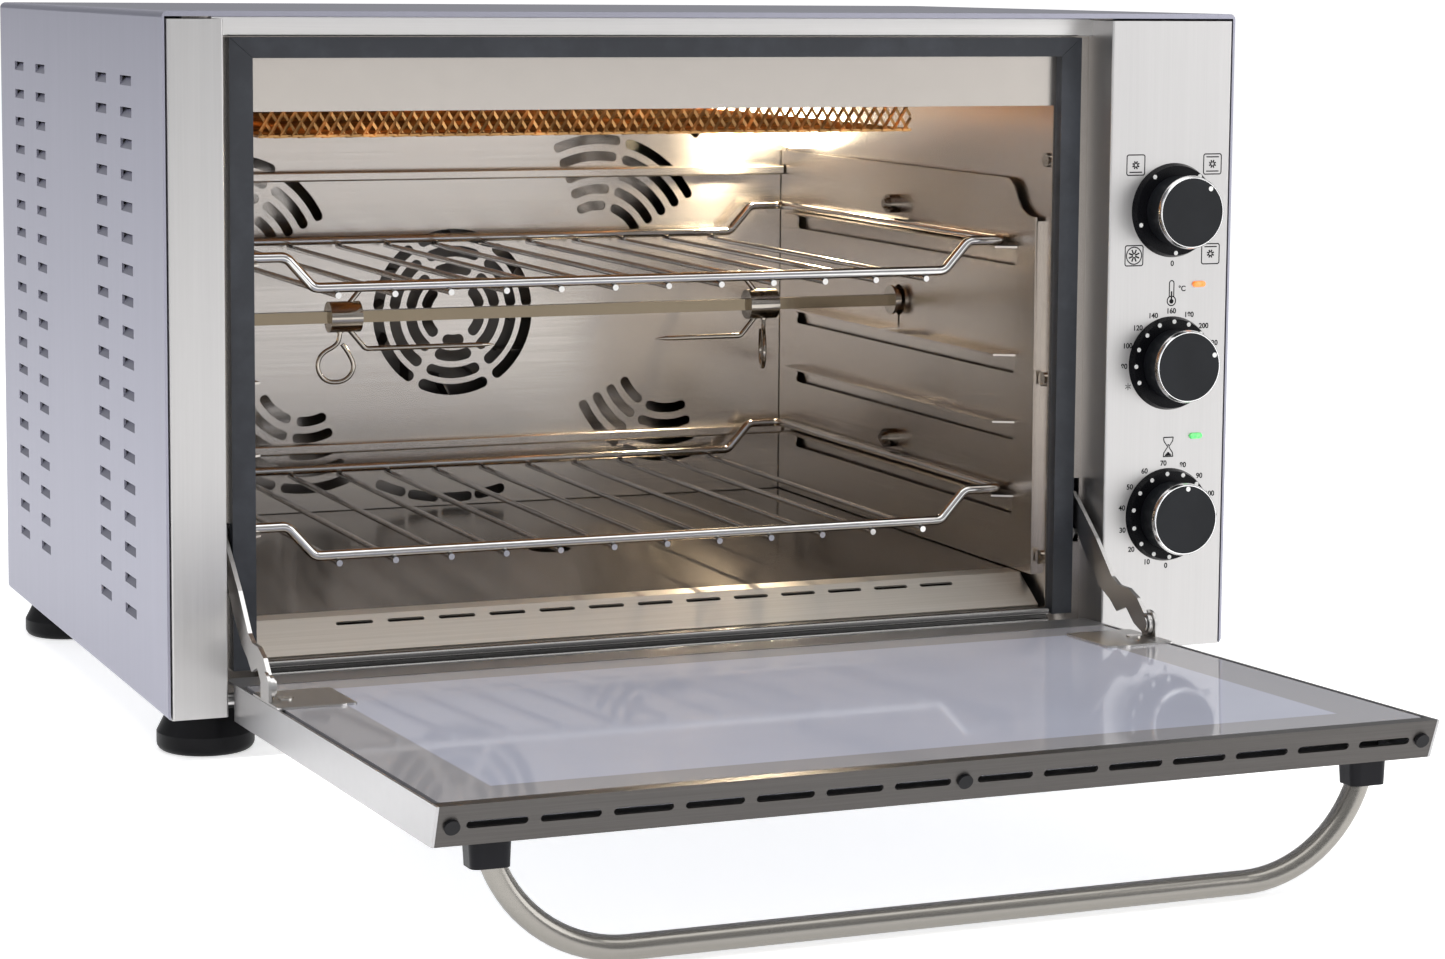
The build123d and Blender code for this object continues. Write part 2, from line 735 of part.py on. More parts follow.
with BuildPart() as spit_motor:
    motor_x = wall_x + 1.5
    block((motor_x, motor_x + 20), (spit_y - 30, spit_y + 30), (spit_z - 26, spit_z + 34))
    fillet(spit_motor.edges().filter_by(Axis.X), 5)
    rod("X", 25.0, (motor_x + 20, spit_y + 2, spit_z + 6), 26)
    block((motor_x - 1.5, motor_x), (spit_y - 34, spit_y - 22), (spit_z - 8, spit_z + 8))
    block((motor_x - 1.5, motor_x), (spit_y + 22, spit_y + 34), (spit_z - 8, spit_z + 8))
    rod("X", socket_radius + shaft_gap, (motor_x - 2, spit_y, spit_z), 18, Mode.SUBTRACT)
finish(spit_motor, "spit_motor")

cradle_x = mid_x - support_half
with BuildPart() as spit_rod:
    square_from = cradle_x + 8
    block(
        (square_from, wall_x + 3.5),
        (spit_y - square, spit_y + square),
        (spit_z - square, spit_z + square),
    )
    rod("X", 3.0, (cradle_x - 2.6, spit_y, spit_z), 11)
    fillet(spit_rod.faces().sort_by(Axis.X)[0].edges(), 2.0)
finish(spit_rod, "spit_rod")

with BuildPart() as spit_cradle:
    with BuildSketch(across(cradle_x)):
        with Locations((spit_y, spit_z - 3)):
            RectangleRounded(20, 26, 4)
        with Locations((spit_y, spit_z + 6)):
            Rectangle(6.6, 12, mode=Mode.SUBTRACT)
        with Locations((spit_y, spit_z)):
            Circle(3.3, mode=Mode.SUBTRACT)
    extrude(amount=2)
finish(spit_cradle, "spit_cradle")


def fork(x, point, reach):
    """Fork whose two prongs reach along point (+1 or -1), on a collar at x."""
    rod("X", collar_radius, (x - collar_length / 2, spit_y, spit_z), collar_length)
    slip = spit_square / 2 + 0.06
    inside = (x - collar_length, x + collar_length)
    for upward in (-1, 1):
        root = (x + point * 2.6, spit_y, spit_z + upward * (collar_radius - 1.6))
        knee = (x + point * 11.6, spit_y, spit_z + upward * fork_spread)
        tip = (x + point * reach, spit_y, spit_z + upward * fork_spread)
        leg = Vector(*knee) - Vector(*root)
        with BuildLine() as path:
            FilletPolyline(root, knee, tip, radius=3.4)
        with BuildSketch(Plane(origin=root, z_dir=leg)) as section:
            Circle(prong_radius)
        sweep(sections=section.sketch, path=path.line)
        lean = (0, 90, 0) if point > 0 else (0, -90, 0)
        with Locations(tip):
            Cone(prong_radius, 0.25, 7, rotation=lean, align=MIN)
    block(inside, (spit_y - slip, spit_y + slip), (spit_z - slip, spit_z + slip), Mode.SUBTRACT)
    screw_x = x - point * eye_offset
    rod("Z", screw_radius + shaft_gap, (screw_x, spit_y, spit_z - 12), 10, Mode.SUBTRACT)


def fork_screw(x, eye_turn):
    """Eye screw that clamps a fork to the spit, hanging below its collar."""
    eye_z = spit_z - eye_drop
    stem = eye_drop - eye_radius - spit_square / 2 - 0.2
    rod("Z", screw_radius, (x, spit_y, eye_z + eye_radius - 0.6), stem)
    with Locations(Location((x, spit_y, eye_z), eye_turn)):
        Torus(eye_radius, eye_wire)


with BuildPart() as fork_left:
    fork(fork_x["left"], 1, fork_reach["left"])
finish(fork_left, "fork_left")

with BuildPart() as fork_right:
    fork(fork_x["right"], -1, fork_reach["right"])
finish(fork_right, "fork_right")

with BuildPart() as fork_screw_left:
    fork_screw(fork_x["left"] - eye_offset, (90, 0, 0))
finish(fork_screw_left, "fork_screw_left")

with BuildPart() as fork_screw_right:
    fork_screw(fork_x["right"] + eye_offset, (0, 90, 0))
finish(fork_screw_right, "fork_screw_right")

# ---------------------------------------------------------------- lamp
with BuildPart() as lamp_holder:
    rod("X", lamp_radius + 4, (wall_x, lamp_y, lamp_z), 2)
    rod("X", lamp_radius - 0.2, (wall_x + 2, lamp_y, lamp_z), 26)
    rod("X", 7.0, (wall_x - 1, lamp_y, lamp_z), 22, Mode.SUBTRACT)
finish(lamp_holder, "lamp_holder")

with BuildPart() as lamp_glass:
    glass_length = 24.0
    rod("X", lamp_radius - 0.3, (wall_x - glass_length, lamp_y, lamp_z), glass_length)
    fillet(lamp_glass.faces().sort_by(Axis.X)[0].edges(), lamp_radius - 1.5)
finish(lamp_glass, "lamp_glass")

# ---------------------------------------------------------------- racks
def rack(rail_z):
    """Wire shelf: one bent rim with a dropped middle, and wires under the drop."""
    low_z = rail_z - rack_drop
    rim = []
    for y, way in ((rack_front_y, 1), (rack_back_y, -1)):
        row = [
            (-rack_rail_half, rail_z),
            (-rack_bend_half[0], rail_z),
            (-rack_bend_half[1], low_z),
            (rack_bend_half[1], low_z),
            (rack_bend_half[0], rail_z),
            (rack_rail_half, rail_z),
        ]
        rim += [(mid_x + x, y, z) for x, z in row[::way]]
    with BuildLine() as path:
        FilletPolyline(*rim, radius=6.0, close=True)
    with BuildSketch(Plane(origin=path.line @ 0, z_dir=path.line % 0)) as section:
        Circle(rail_radius)
    sweep(sections=section.sketch, path=path.line)
    wire_z = low_z - rail_radius - wire_radius + 0.3
    for wire in range(rack_wires):
        x = mid_x + (wire - (rack_wires - 1) / 2) * rack_wire_pitch
        wire_y = rack_front_y - 3
        rod("Y", wire_radius, (x, wire_y, wire_z), rack_back_y - rack_front_y + 6)


rail_lift = rail_radius + gap
with BuildPart() as upper_rack:
    rack(runner_tops[3] + rail_lift)
finish(upper_rack, "upper_rack")

with BuildPart() as lower_rack:
    rack(runner_tops[0] + rail_lift)
finish(lower_rack, "lower_rack")

# ---------------------------------------------------------------- controls
with BuildPart() as dial_bezels:
    for z in dial_zs.values():
        with Locations(Location((dial_x, front_y - dial_thickness, z), TURN["Y"])):
            Cone(dial_radius - 1.2, dial_radius, dial_thickness, align=MIN)
            Cylinder(5.0, 8, align=MIN, mode=Mode.SUBTRACT)
finish(dial_bezels, "dial_bezels")


def knob(z):
    """Round knob with a bevelled rim, on its spindle."""
    base_y = front_y - dial_thickness - gap
    with Locations(Location((dial_x, knob_front_y, z), TURN["Y"])):
        Cone(knob_radius - 0.9, knob_radius, 1.1, align=MIN)
        with Locations((0, 0, 1.1)):
            Cylinder(knob_radius, 1.4, align=MIN)
        with Locations((0, 0, 2.5)):
            Cone(knob_radius - 0.6, knob_radius - 0.2, base_y - knob_front_y - 2.5, align=MIN)
    rod("Y", spindle_radius, (dial_x, base_y, z), 20)


for name, z in dial_zs.items():
    with BuildPart() as control_knob:
        knob(z)
    finish(control_knob, f"{name}_knob")

switch_y = front_y + sheet


def spindle_bore(z):
    """Bore that a knob's spindle turns in."""
    rod("Y", spindle_radius + shaft_gap, (dial_x, switch_y - 1, z), 17, Mode.SUBTRACT)


with BuildPart() as mode_switch:
    z = dial_zs["function"]
    block((dial_x - 20, dial_x + 20), (switch_y + 1, switch_y + 32), (z - 20, z + 20))
    fillet(mode_switch.edges().filter_by(Axis.Y), 5)
    rod("Y", 9.0, (dial_x, switch_y, z), 1)
    with BuildSketch(facing(switch_y + 40)):
        with Locations((dial_x, z)):
            with PolarLocations(14, 6):
                Rectangle(6, 0.9)
    extrude(amount=8)
    spindle_bore(z)
finish(mode_switch, "mode_switch")

with BuildPart() as thermostat:
    z = dial_zs["temperature"]
    block((dial_x - 17, dial_x + 17), (switch_y + 1, switch_y + 28), (z - 24, z + 24))
    fillet(thermostat.edges().filter_by(Axis.Y), 4)
    rod("Y", 9.0, (dial_x, switch_y, z), 1)
    rod("Y", 12.0, (dial_x, switch_y + 28, z), 5)
    spindle_bore(z)
    # sensing bulb on the cavity's left wall
    rod("Y", 3.0, (mid_x - 197, -60, 293), 110)
    block((mid_x - cavity_half, mid_x - 199.6), (-8, -2), (291, 295))
finish(thermostat, "thermostat")

with BuildPart() as timer:
    z = dial_zs["timer"]
    rod("Y", 21.0, (dial_x, switch_y + 1, z), 34)
    rod("Y", 9.0, (dial_x, switch_y, z), 1)
    # bell
    rod("Y", 23.0, (dial_x, switch_y + 37, z), 6)
    rod("Y", 4.0, (dial_x, switch_y + 35, z), 2)
    spindle_bore(z)
finish(timer, "timer")

with BuildPart() as indicator_lenses:
    with BuildSketch(facing(front_y + 4)):
        with Locations(*[(lamp_window_x, z) for z in lamp_window_zs]):
            SlotOverall(7.2, 3.0)
    extrude(amount=5.2)
    fillet(indicator_lenses.faces().sort_by(Axis.Y)[:2].edges(), 0.5)
finish(indicator_lenses, "indicator_lenses")

# ---------------------------------------------------------------- door
door_x = (mid_x - door_half, mid_x + door_half)
lip = 3.0
cap_v = 298.0
skin_in = door_outer - sheet
glass_lip = door_inner + 4.6


def door_profile(x):
    """Plane across the door at x, with local x along the door and y to its outer face."""
    return Plane(
        origin=door_plane.from_local_coords((x, 0, 0)),
        x_dir=door_plane.y_dir,
        z_dir=(1, 0, 0),
    )


with BuildPart(door_plane) as door_frame:
    for x in (door_x[0], door_x[1] - sheet):
        with BuildSketch(door_profile(x)):
            outline(
                [
                    (door_heel, door_inner),
                    (door_length, door_inner),
                    (door_length - door_bevel, door_outer),
                    (door_heel, door_outer),
                ]
            )
        extrude(amount=sheet)
    inside_x = (door_x[0] + sheet, door_x[1] - sheet)
    # outer skin round the window
    block(inside_x, (door_heel, cap_v), (skin_in, door_outer))
    block(
        (mid_x - window_half, mid_x + window_half),
        window_v,
        (skin_in - 1, door_outer + 1),
        Mode.SUBTRACT,
    )
    # heel channel and inner lips round the glass
    block(inside_x, (door_heel, door_heel + sheet), (door_inner, skin_in))
    block(inside_x, (door_heel + sheet, 17.6), (door_inner, door_inner + sheet))
    for x in ((inside_x[0], inside_x[0] + lip), (inside_x[1] - lip, inside_x[1])):
        block(x, (17.6, 304), (glass_lip, glass_lip + 1))
    # notches at the hinge, each with a plate for the pin at its inner end
    notch_v = (door_heel - 1, hinge_notch)
    notch_w = (door_inner + sheet, door_outer + 1)
    for side, edge in ((1, door_x[0]), (-1, door_x[1])):
        plate_face = edge + side * notch_depth
        notch_x = sorted((edge - side, plate_face))
        block(notch_x, notch_v, notch_w, Mode.SUBTRACT)
        plate_x = sorted((plate_face, plate_face + side * sheet))
        block(plate_x, (door_heel, hinge_notch), (door_inner, door_outer))
        bore_x = sorted((plate_face - side, plate_face + side * 3))
        rod("X", pin_radius + shaft_gap, (bore_x[0], 0, 0), 4, Mode.SUBTRACT)
    for side in (-1, 1):
        rod("Z", 1.8, (mid_x + side * socket_half, handle_v, 0), 20, Mode.SUBTRACT)
finish(door_frame, "door_frame")


# the end face slopes from the inner edge back to the outer edge
end_run = Vector(door_bevel, door_outer - door_inner)
end_middle = door_plane.from_local_coords(
    (mid_x, door_length - door_bevel / 2, (door_inner + door_outer) / 2)
)
end_out = door_plane.y_dir * end_run.Y + door_plane.z_dir * end_run.X
end_face = Plane(origin=end_middle, x_dir=(1, 0, 0), z_dir=end_out)
cap_half = door_half - sheet - 0.1
cap_screw_x = 217.0
cap_slot_pitch = 30.0

with BuildPart() as door_cap:
    with BuildSketch(door_profile(mid_x - cap_half)):
        outline(
            [
                (cap_v + 6, door_inner),
                (door_length, door_inner),
                (door_length - door_bevel, door_outer),
                (cap_v + 0.2, door_outer),
                (cap_v + 0.2, skin_in),
                (door_length - door_bevel - 0.9, skin_in),
                (door_length - sheet - 0.8, door_inner + sheet),
                (cap_v + 6, door_inner + sheet),
            ]
        )
    extrude(amount=2 * cap_half)
    with BuildSketch(end_face):
        for side in (-1, 1):
            with Locations((side * (cap_slot_pitch * 3 + 18.5), 0)):
                with GridLocations(cap_slot_pitch, 1, 7, 1):
                    SlotOverall(25, 3.4)
        with Locations((-cap_screw_x, 0), (0, 0), (cap_screw_x, 0)):
            Circle(1.6)
    extrude(amount=4, both=True, mode=Mode.SUBTRACT)
finish(door_cap, "door_cap")

glass_screw_x = stay_half - 6.8
with BuildPart(door_plane) as inner_glass:
    block((mid_x - 220.5, mid_x + 220.5), (19, cap_v + 5.6), (door_inner, door_inner + 4))
    fillet(inner_glass.edges().filter_by(Axis(door_plane.origin, door_plane.z_dir)), 2)
    for side in (-1, 1):
        rod("Z", 2.4, (mid_x + side * glass_screw_x, ear_v, door_inner - 1), 6, Mode.SUBTRACT)
finish(inner_glass, "inner_glass")

with BuildPart(door_plane) as outer_glass:
    block((mid_x - 210, mid_x + 210), (15, handle_v - 4), (skin_in - 4.1, skin_in - 0.1))
    fillet(outer_glass.edges().filter_by(Axis(door_plane.origin, door_plane.z_dir)), 3)
finish(outer_glass, "outer_glass")

# handle: a bar between two quarter bends that end at the door
bend_low = -2.0
bend_end = degrees(asin((door_outer + 1.6 - bend_low) / handle_bend))
handle_plane = Plane(
    origin=door_plane.from_local_coords((mid_x, handle_v, 0)),
    x_dir=(1, 0, 0),
    z_dir=door_plane.y_dir * -1,
)
with BuildLine(handle_plane) as handle_path:
    right_bend = CenterArc((handle_bend_half, bend_low), handle_bend, bend_end, 90 - bend_end)
    left_bend = CenterArc((-handle_bend_half, bend_low), handle_bend, 90, 90 - bend_end)
    Line(right_bend @ 1, left_bend @ 0)


def handle_tube(radius, mode=Mode.ADD):
    """Solid of the handle's bent tube."""
    path = handle_path.wires()[0]
    with BuildSketch(Plane(origin=path @ 0, z_dir=path % 0)) as section:
        Circle(radius)
    sweep(sections=section.sketch, path=path, mode=mode)


with BuildPart() as door_handle:
    handle_tube(handle_radius)
    handle_tube(handle_radius - 1, Mode.SUBTRACT)
finish(door_handle, "door_handle")

with BuildPart() as handle_sockets:
    for side in (-1, 1):
        handle_end_x = mid_x + side * (socket_half - 1.5)
        socket_plane = Plane(
            origin=door_plane.from_local_coords((handle_end_x, handle_v, door_outer)),
            x_dir=(1, 0, 0),
            z_dir=door_plane.z_dir,
        )
        with BuildSketch(socket_plane):
            RectangleRounded(17.5, 15, 4)
        extrude(amount=socket_depth, taper=3)
        with BuildSketch(socket_plane):
            with Locations((side * 1.5, 0)):
                Circle(2.0)
        extrude(amount=4, mode=Mode.SUBTRACT)
    handle_tube(handle_radius + 0.02, Mode.SUBTRACT)
finish(handle_sockets, "handle_sockets")

with BuildPart(door_plane) as door_screws:
    for side in (-1, 1):
        # through the skin into each handle end
        rod("Z", 3.6, (mid_x + side * socket_half, handle_v, skin_in - 2.2), 2.2)
        rod("Z", 1.75, (mid_x + side * socket_half, handle_v, skin_in), 8)
        # through the inner glass under each stay's bracket
        glass_screw = (mid_x + side * glass_screw_x, ear_v, door_inner - 1.6)
        rod("Z", 3.8, glass_screw, 0.6)
        rod("Z", 1.5, glass_screw, 8)
        rod("Z", 3.2, (glass_screw[0], ear_v, door_inner + 4), 2)
    with BuildSketch(end_face):
        with Locations((-cap_screw_x, 0), (0, 0), (cap_screw_x, 0)):
            Circle(3.2)
    extrude(amount=1.5)
    with BuildSketch(end_face):
        with Locations((-cap_screw_x, 0), (0, 0), (cap_screw_x, 0)):
            Circle(1.55)
    extrude(amount=-5)
finish(door_screws, "door_screws")

rivet_radius = 2.5
rivet_head = 0.8
rivet_end = stay_half - 2.1
ear_near = stay_half + 1.25
with BuildPart() as hinge_brackets:
    for side in (-1, 1):
        ear_x = sorted((mid_x + side * ear_near, mid_x + side * (ear_near + ear_thickness)))
        with BuildSketch(door_profile(ear_x[0])):
            with Locations((ear_v, ear_w)):
                Circle(ear_radius)
            with Locations((ear_v, (ear_w + door_inner) / 2)):
                Rectangle(2 * ear_radius, door_inner - ear_w)
        extrude(amount=ear_thickness)
        plate_x = sorted((mid_x + side * (ear_near + ear_thickness), mid_x + side * (stay_half - 33.5)))
        plate_plane = Plane(
            origin=door_plane.from_local_coords((sum(plate_x) / 2, ear_v + 0.5, door_inner - 1)),
            x_dir=(1, 0, 0),
            z_dir=door_plane.z_dir,
        )
        with BuildSketch(plate_plane):
            RectangleRounded(plate_x[1] - plate_x[0], 44, 2)
            with Locations((-side * 9, 0)):
                RectangleRounded(plate_x[1] - plate_x[0] - 18, 46, 9)
            with Locations((mid_x + side * glass_screw_x - sum(plate_x) / 2, -0.5)):
                Circle(1.55, mode=Mode.SUBTRACT)
        extrude(amount=1)
        rivet_x = sorted((mid_x + side * rivet_end, mid_x + side * ear_near))
        with BuildSketch(door_profile(rivet_x[0])):
            with Locations((ear_v, ear_w)):
                Circle(rivet_radius)
        extrude(amount=rivet_x[1] - rivet_x[0])
        head_x = min(mid_x + side * rivet_end, mid_x + side * (rivet_end + rivet_head))
        with BuildSketch(door_profile(head_x)):
            with Locations((ear_v, ear_w)):
                Circle(3.9)
        extrude(amount=rivet_head)
finish(hinge_brackets, "hinge_brackets")

rivet = door_plane.from_local_coords((0, ear_v, ear_w))

# corners of a stay's outline about its rivet, as (inwards, up)
stay_outline = (
    (0, 4.4),
    (8, 11.5),
    (17, 14.8),
    (27, 14.9),
    (34, 18),
    (51, 34.6),
    (65, 45.8),
    (77, 55),
    (90, 57),
    (97.5, 50),
    (96, 42.5),
    (92, 42.5),
    (90, 47),
    (83, 48.5),
    (61, 23.5),
    (46, 11),
    (36, 6.5),
    (28.6, 1.4),
    (19, 5),
    (11, -1.5),
    (4, -4),
    (0, -4.4),
)


def stay(x):
    """Flat cranked arm that holds the door, from its rivet up into the frame."""
    origin = (x - stay_thickness / 2, rivet.Y, rivet.Z)
    with BuildSketch(Plane(origin=origin, x_dir=(0, 1, 0), z_dir=(1, 0, 0))) as arm:
        with BuildLine() as edge:
            FilletPolyline(*stay_outline, radius=1.2, close=True)
        make_face(edge.edges())
        Circle(5.3)
        Circle(rivet_radius + shaft_gap, mode=Mode.SUBTRACT)
    extrude(arm.sketch, amount=stay_thickness)


with BuildPart() as hinge_arm_left:
    stay(mid_x - stay_half)
finish(hinge_arm_left, "hinge_arm_left")

with BuildPart() as hinge_arm_right:
    stay(mid_x + stay_half)
finish(hinge_arm_right, "hinge_arm_right")

roller_y, roller_z, roller_radius = -155.9, 78.0, 4.0
with BuildPart() as hinge_pins:
    for side, face_x in ((-1, pillar[1]), (1, panel[0])):
        pin_x = sorted((face_x + side * 2.6, mid_x + side * (door_half - notch_depth - 2.4)))
        rod("X", pin_radius, (pin_x[0], hinge_y, hinge_z), pin_x[1] - pin_x[0])
        # roller under the stay, on a foot against the frame
        stay_x = mid_x + side * stay_half
        rod("X", roller_radius, (stay_x - 2.5, roller_y, roller_z), 5)
        rod("X", 2.0, (stay_x - 5, roller_y, roller_z), 10)
        for foot_x in (stay_x - 5, stay_x + 3.8):
            block((foot_x, foot_x + 1.2), (face_back_y, roller_y + 3), (roller_z - 12, roller_z + 2))
        block((stay_x - 5, stay_x + 5), (face_back_y, face_back_y + 1.2), (roller_z - 16, roller_z - 6))
finish(hinge_pins, "hinge_pins")

# ---------------------------------------------------------------- case fasteners
with BuildPart() as case_screws:
    for side in (-1, 1):
        for z in liner_screw_zs:
            x = mid_x + side * cavity_half
            head_x = min(x, x - side * 1.8)
            rod("X", 3.6, (head_x, liner_screw_y, z), 1.8)
            shank_x = min(x, x + side * 7)
            rod("X", 1.7, (shank_x, liner_screw_y, z), 7)
    cover_screws(1.7, Mode.ADD)
    for x in cover_screw_xs:
        for z in cover_screw_zs:
            rod("Y", 3.6, (x, back_y + 1, z), 2)
finish(case_screws, "case_screws")
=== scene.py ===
"""Looks of the countertop rotisserie oven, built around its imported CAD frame.

Everything is in metres in the part's own frame: +Z up, the door faces -Y.
"""

from math import cos, pi, radians, sin

import bmesh
import bpy
from mathutils import Matrix, Vector


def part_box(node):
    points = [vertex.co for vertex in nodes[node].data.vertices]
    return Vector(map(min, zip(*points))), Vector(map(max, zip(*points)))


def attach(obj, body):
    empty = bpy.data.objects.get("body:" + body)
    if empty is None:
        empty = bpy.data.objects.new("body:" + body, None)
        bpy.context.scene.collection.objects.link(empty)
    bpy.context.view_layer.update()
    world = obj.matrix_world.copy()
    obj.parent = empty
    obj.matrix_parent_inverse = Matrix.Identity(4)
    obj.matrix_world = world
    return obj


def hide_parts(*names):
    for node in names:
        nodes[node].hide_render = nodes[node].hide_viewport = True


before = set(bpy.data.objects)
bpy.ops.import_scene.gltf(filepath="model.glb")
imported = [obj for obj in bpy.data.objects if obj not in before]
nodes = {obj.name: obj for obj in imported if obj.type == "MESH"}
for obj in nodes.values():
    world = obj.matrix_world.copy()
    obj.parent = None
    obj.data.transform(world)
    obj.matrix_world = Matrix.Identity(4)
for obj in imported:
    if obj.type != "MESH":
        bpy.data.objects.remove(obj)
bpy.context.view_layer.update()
MM = 0.001

X, Y, Z = 0, 1, 2


# ---------------------------------------------------------------- shader helpers
def add(tree, kind, settings=None, **inputs):
    """Adds a shader node. Each input is a value, or an output socket to link from."""
    made = tree.nodes.new(kind)
    for key, value in (settings or {}).items():
        setattr(made, key, value)
    for key, value in inputs.items():
        socket = made.inputs[key.replace("_", " ")]
        if isinstance(value, bpy.types.NodeSocket):
            tree.links.new(value, socket)
        else:
            socket.default_value = value
    return made


def place(tree, scale=(1, 1, 1)):
    """Object coordinates, scaled along each axis."""
    coordinates = add(tree, "ShaderNodeTexCoord").outputs["Object"]
    return add(tree, "ShaderNodeMapping", Vector=coordinates, Scale=scale).outputs["Vector"]


def noise(tree, scale, detail=3.0, roughness=0.55, stretch=(1, 1, 1)):
    """Fractal noise of about scale features per metre, from 0 to 1."""
    vector = place(tree, [scale * s for s in stretch])
    made = add(
        tree, "ShaderNodeTexNoise", Vector=vector, Scale=1.0, Detail=detail, Roughness=roughness
    )
    return made.outputs["Fac"]


def remap(tree, value, low, high, source=(0.3, 0.7)):
    """Value spread from its source range to low..high."""
    made = add(tree, "ShaderNodeMapRange", Value=value, From_Min=source[0], From_Max=source[1])
    made.inputs["To Min"].default_value = low
    made.inputs["To Max"].default_value = high
    return made.outputs["Result"]


# where a Mix node keeps its factor, its two colours and their mix
factor_input, first_input, second_input, colour_output = 0, 6, 7, 2


def mix(tree, factor, first, second):
    """Mix of two colours, each a socket or an RGB tuple."""
    made = tree.nodes.new("ShaderNodeMix")
    made.data_type = "RGBA"
    for index, value in ((factor_input, factor), (first_input, first), (second_input, second)):
        if isinstance(value, bpy.types.NodeSocket):
            tree.links.new(value, made.inputs[index])
        elif index == factor_input:
            made.inputs[index].default_value = value
        else:
            made.inputs[index].default_value = (*value, 1)
    return made.outputs[colour_output]


def shade(colour, factor):
    """Colour made lighter or darker."""
    return tuple(min(1.0, c * factor) for c in colour)


def surface(name, colour, roughness, **sockets):
    """New material. Returns it, its node tree and its Principled shader."""
    material = bpy.data.materials.new(name)
    material.use_nodes = True
    tree = material.node_tree
    shader = tree.nodes["Principled BSDF"]
    shader.inputs["Base Color"].default_value = (*colour, 1)
    shader.inputs["Roughness"].default_value = roughness
    for key, value in sockets.items():
        shader.inputs[key.replace("_", " ")].default_value = value
    return material, tree, shader


def feed(tree, shader, socket, value):
    """Links an output socket to the shader's named input."""
    tree.links.new(value, shader.inputs[socket])


def bump(tree, shader, height, distance, strength=1.0):
    """Bump from a height between 0 and 1, at most distance metres deep."""
    made = add(tree, "ShaderNodeBump", Height=height, Distance=distance, Strength=strength)
    feed(tree, shader, "Normal", made.outputs["Normal"])


def lay_grain(tree, shader, along):
    """Turns the shader's tangent along the grain, which runs along X, Y or Z."""
    # a little off the axis, so that it never lies along a face's normal
    axis = add(tree, "ShaderNodeCombineXYZ", X=0.02, Y=0.03, Z=0.025)
    axis.inputs[along].default_value = 1.0
    world_space = {"vector_type": "VECTOR", "convert_from": "OBJECT", "convert_to": "WORLD"}
    turned = add(tree, "ShaderNodeVectorTransform", world_space, Vector=axis.outputs["Vector"])
    feed(tree, shader, "Tangent", turned.outputs["Vector"])


# ---------------------------------------------------------------- materials
# Principled settings of rolled sheet, and how far its grain is drawn out
sheet_metal = {"Metallic": 1.0, "Anisotropic_Rotation": 0.25}
grain_squeeze = 0.012


def brushed(name, colour, roughness, along, contrast=0.04, grain=1400.0):
    """Brushed metal with its grain along one axis (X, Y or Z), grain lines per metre across."""
    material, tree, shader = surface(name, colour, roughness, Anisotropic=0.65, **sheet_metal)
    lay_grain(tree, shader, along)
    stretch = [1.0, 1.0, 1.0]
    stretch[along] = grain_squeeze
    fine = noise(tree, grain, 3.0, 0.6, stretch)
    broad = noise(tree, grain / 9, 2.0, 0.5, stretch)
    cloud = noise(tree, 7.0, 2.0, 0.5)
    darker, lighter = shade(colour, 1 - contrast), shade(colour, 1 + contrast)
    tone = mix(tree, remap(tree, fine, 0, 1), darker, lighter)
    streak = mix(tree, remap(tree, broad, 0, 1), shade(colour, 0.97), shade(colour, 1.03))
    tone = mix(tree, 0.5, tone, streak)
    tone = mix(tree, remap(tree, cloud, 0, 0.15), tone, shade(colour, 0.88))
    feed(tree, shader, "Base Color", tone)
    feed(tree, shader, "Roughness", remap(tree, fine, roughness - 0.02, roughness + 0.03))
    return material


def polished(name, colour, roughness, smudge=0.08):
    """Plated or polished metal with faint cloudy handling marks."""
    material, tree, shader = surface(name, colour, roughness, Metallic=1.0)
    cloud = noise(tree, 60.0, 4.0, 0.6)
    tone = mix(tree, remap(tree, cloud, 0, 1), shade(colour, 0.9), colour)
    feed(tree, shader, "Base Color", tone)
    feed(tree, shader, "Roughness", remap(tree, cloud, roughness, roughness + smudge))
    return material


def rubber(name, colour, roughness=0.6, shine=0.35):
    """Moulded rubber with a fine matte grain and a little dust."""
    material, tree, shader = surface(name, colour, roughness, Specular_IOR_Level=shine)
    grain = noise(tree, 2600.0, 2.0, 0.6)
    dust = noise(tree, 45.0, 4.0, 0.6)
    dusty = mix(tree, remap(tree, dust, 0, 0.5, (0.45, 0.8)), colour, shade(colour, 2.2))
    feed(tree, shader, "Base Color", dusty)
    feed(tree, shader, "Roughness", remap(tree, grain, roughness - 0.08, roughness + 0.1))
    bump(tree, shader, grain, 0.04 * MM, 0.6)
    return material


def plastic(name, colour, roughness, shine=0.5):
    """Moulded plastic with a fine spark-eroded texture."""
    material, tree, shader = surface(name, colour, roughness, Specular_IOR_Level=shine)
    grain = noise(tree, 1800.0, 2.0, 0.5)
    cloud = noise(tree, 40.0, 3.0, 0.5)
    tone = mix(tree, remap(tree, cloud, 0, 1), colour, shade(colour, 1.5))
    feed(tree, shader, "Base Color", tone)
    feed(tree, shader, "Roughness", remap(tree, grain, roughness - 0.04, roughness + 0.06))
    bump(tree, shader, grain, 0.02 * MM, 0.4)
    return material


def painted(name, colour):
    """Plain coated or cast part inside the case."""
    material, tree, shader = surface(name, colour, 0.45, Metallic=0.3)
    cloud = noise(tree, 90.0, 4.0, 0.6)
    tone = mix(tree, remap(tree, cloud, 0, 1), shade(colour, 0.8), shade(colour, 1.1))
    feed(tree, shader, "Base Color", tone)
    bump(tree, shader, cloud, 0.1 * MM, 0.3)
    return material


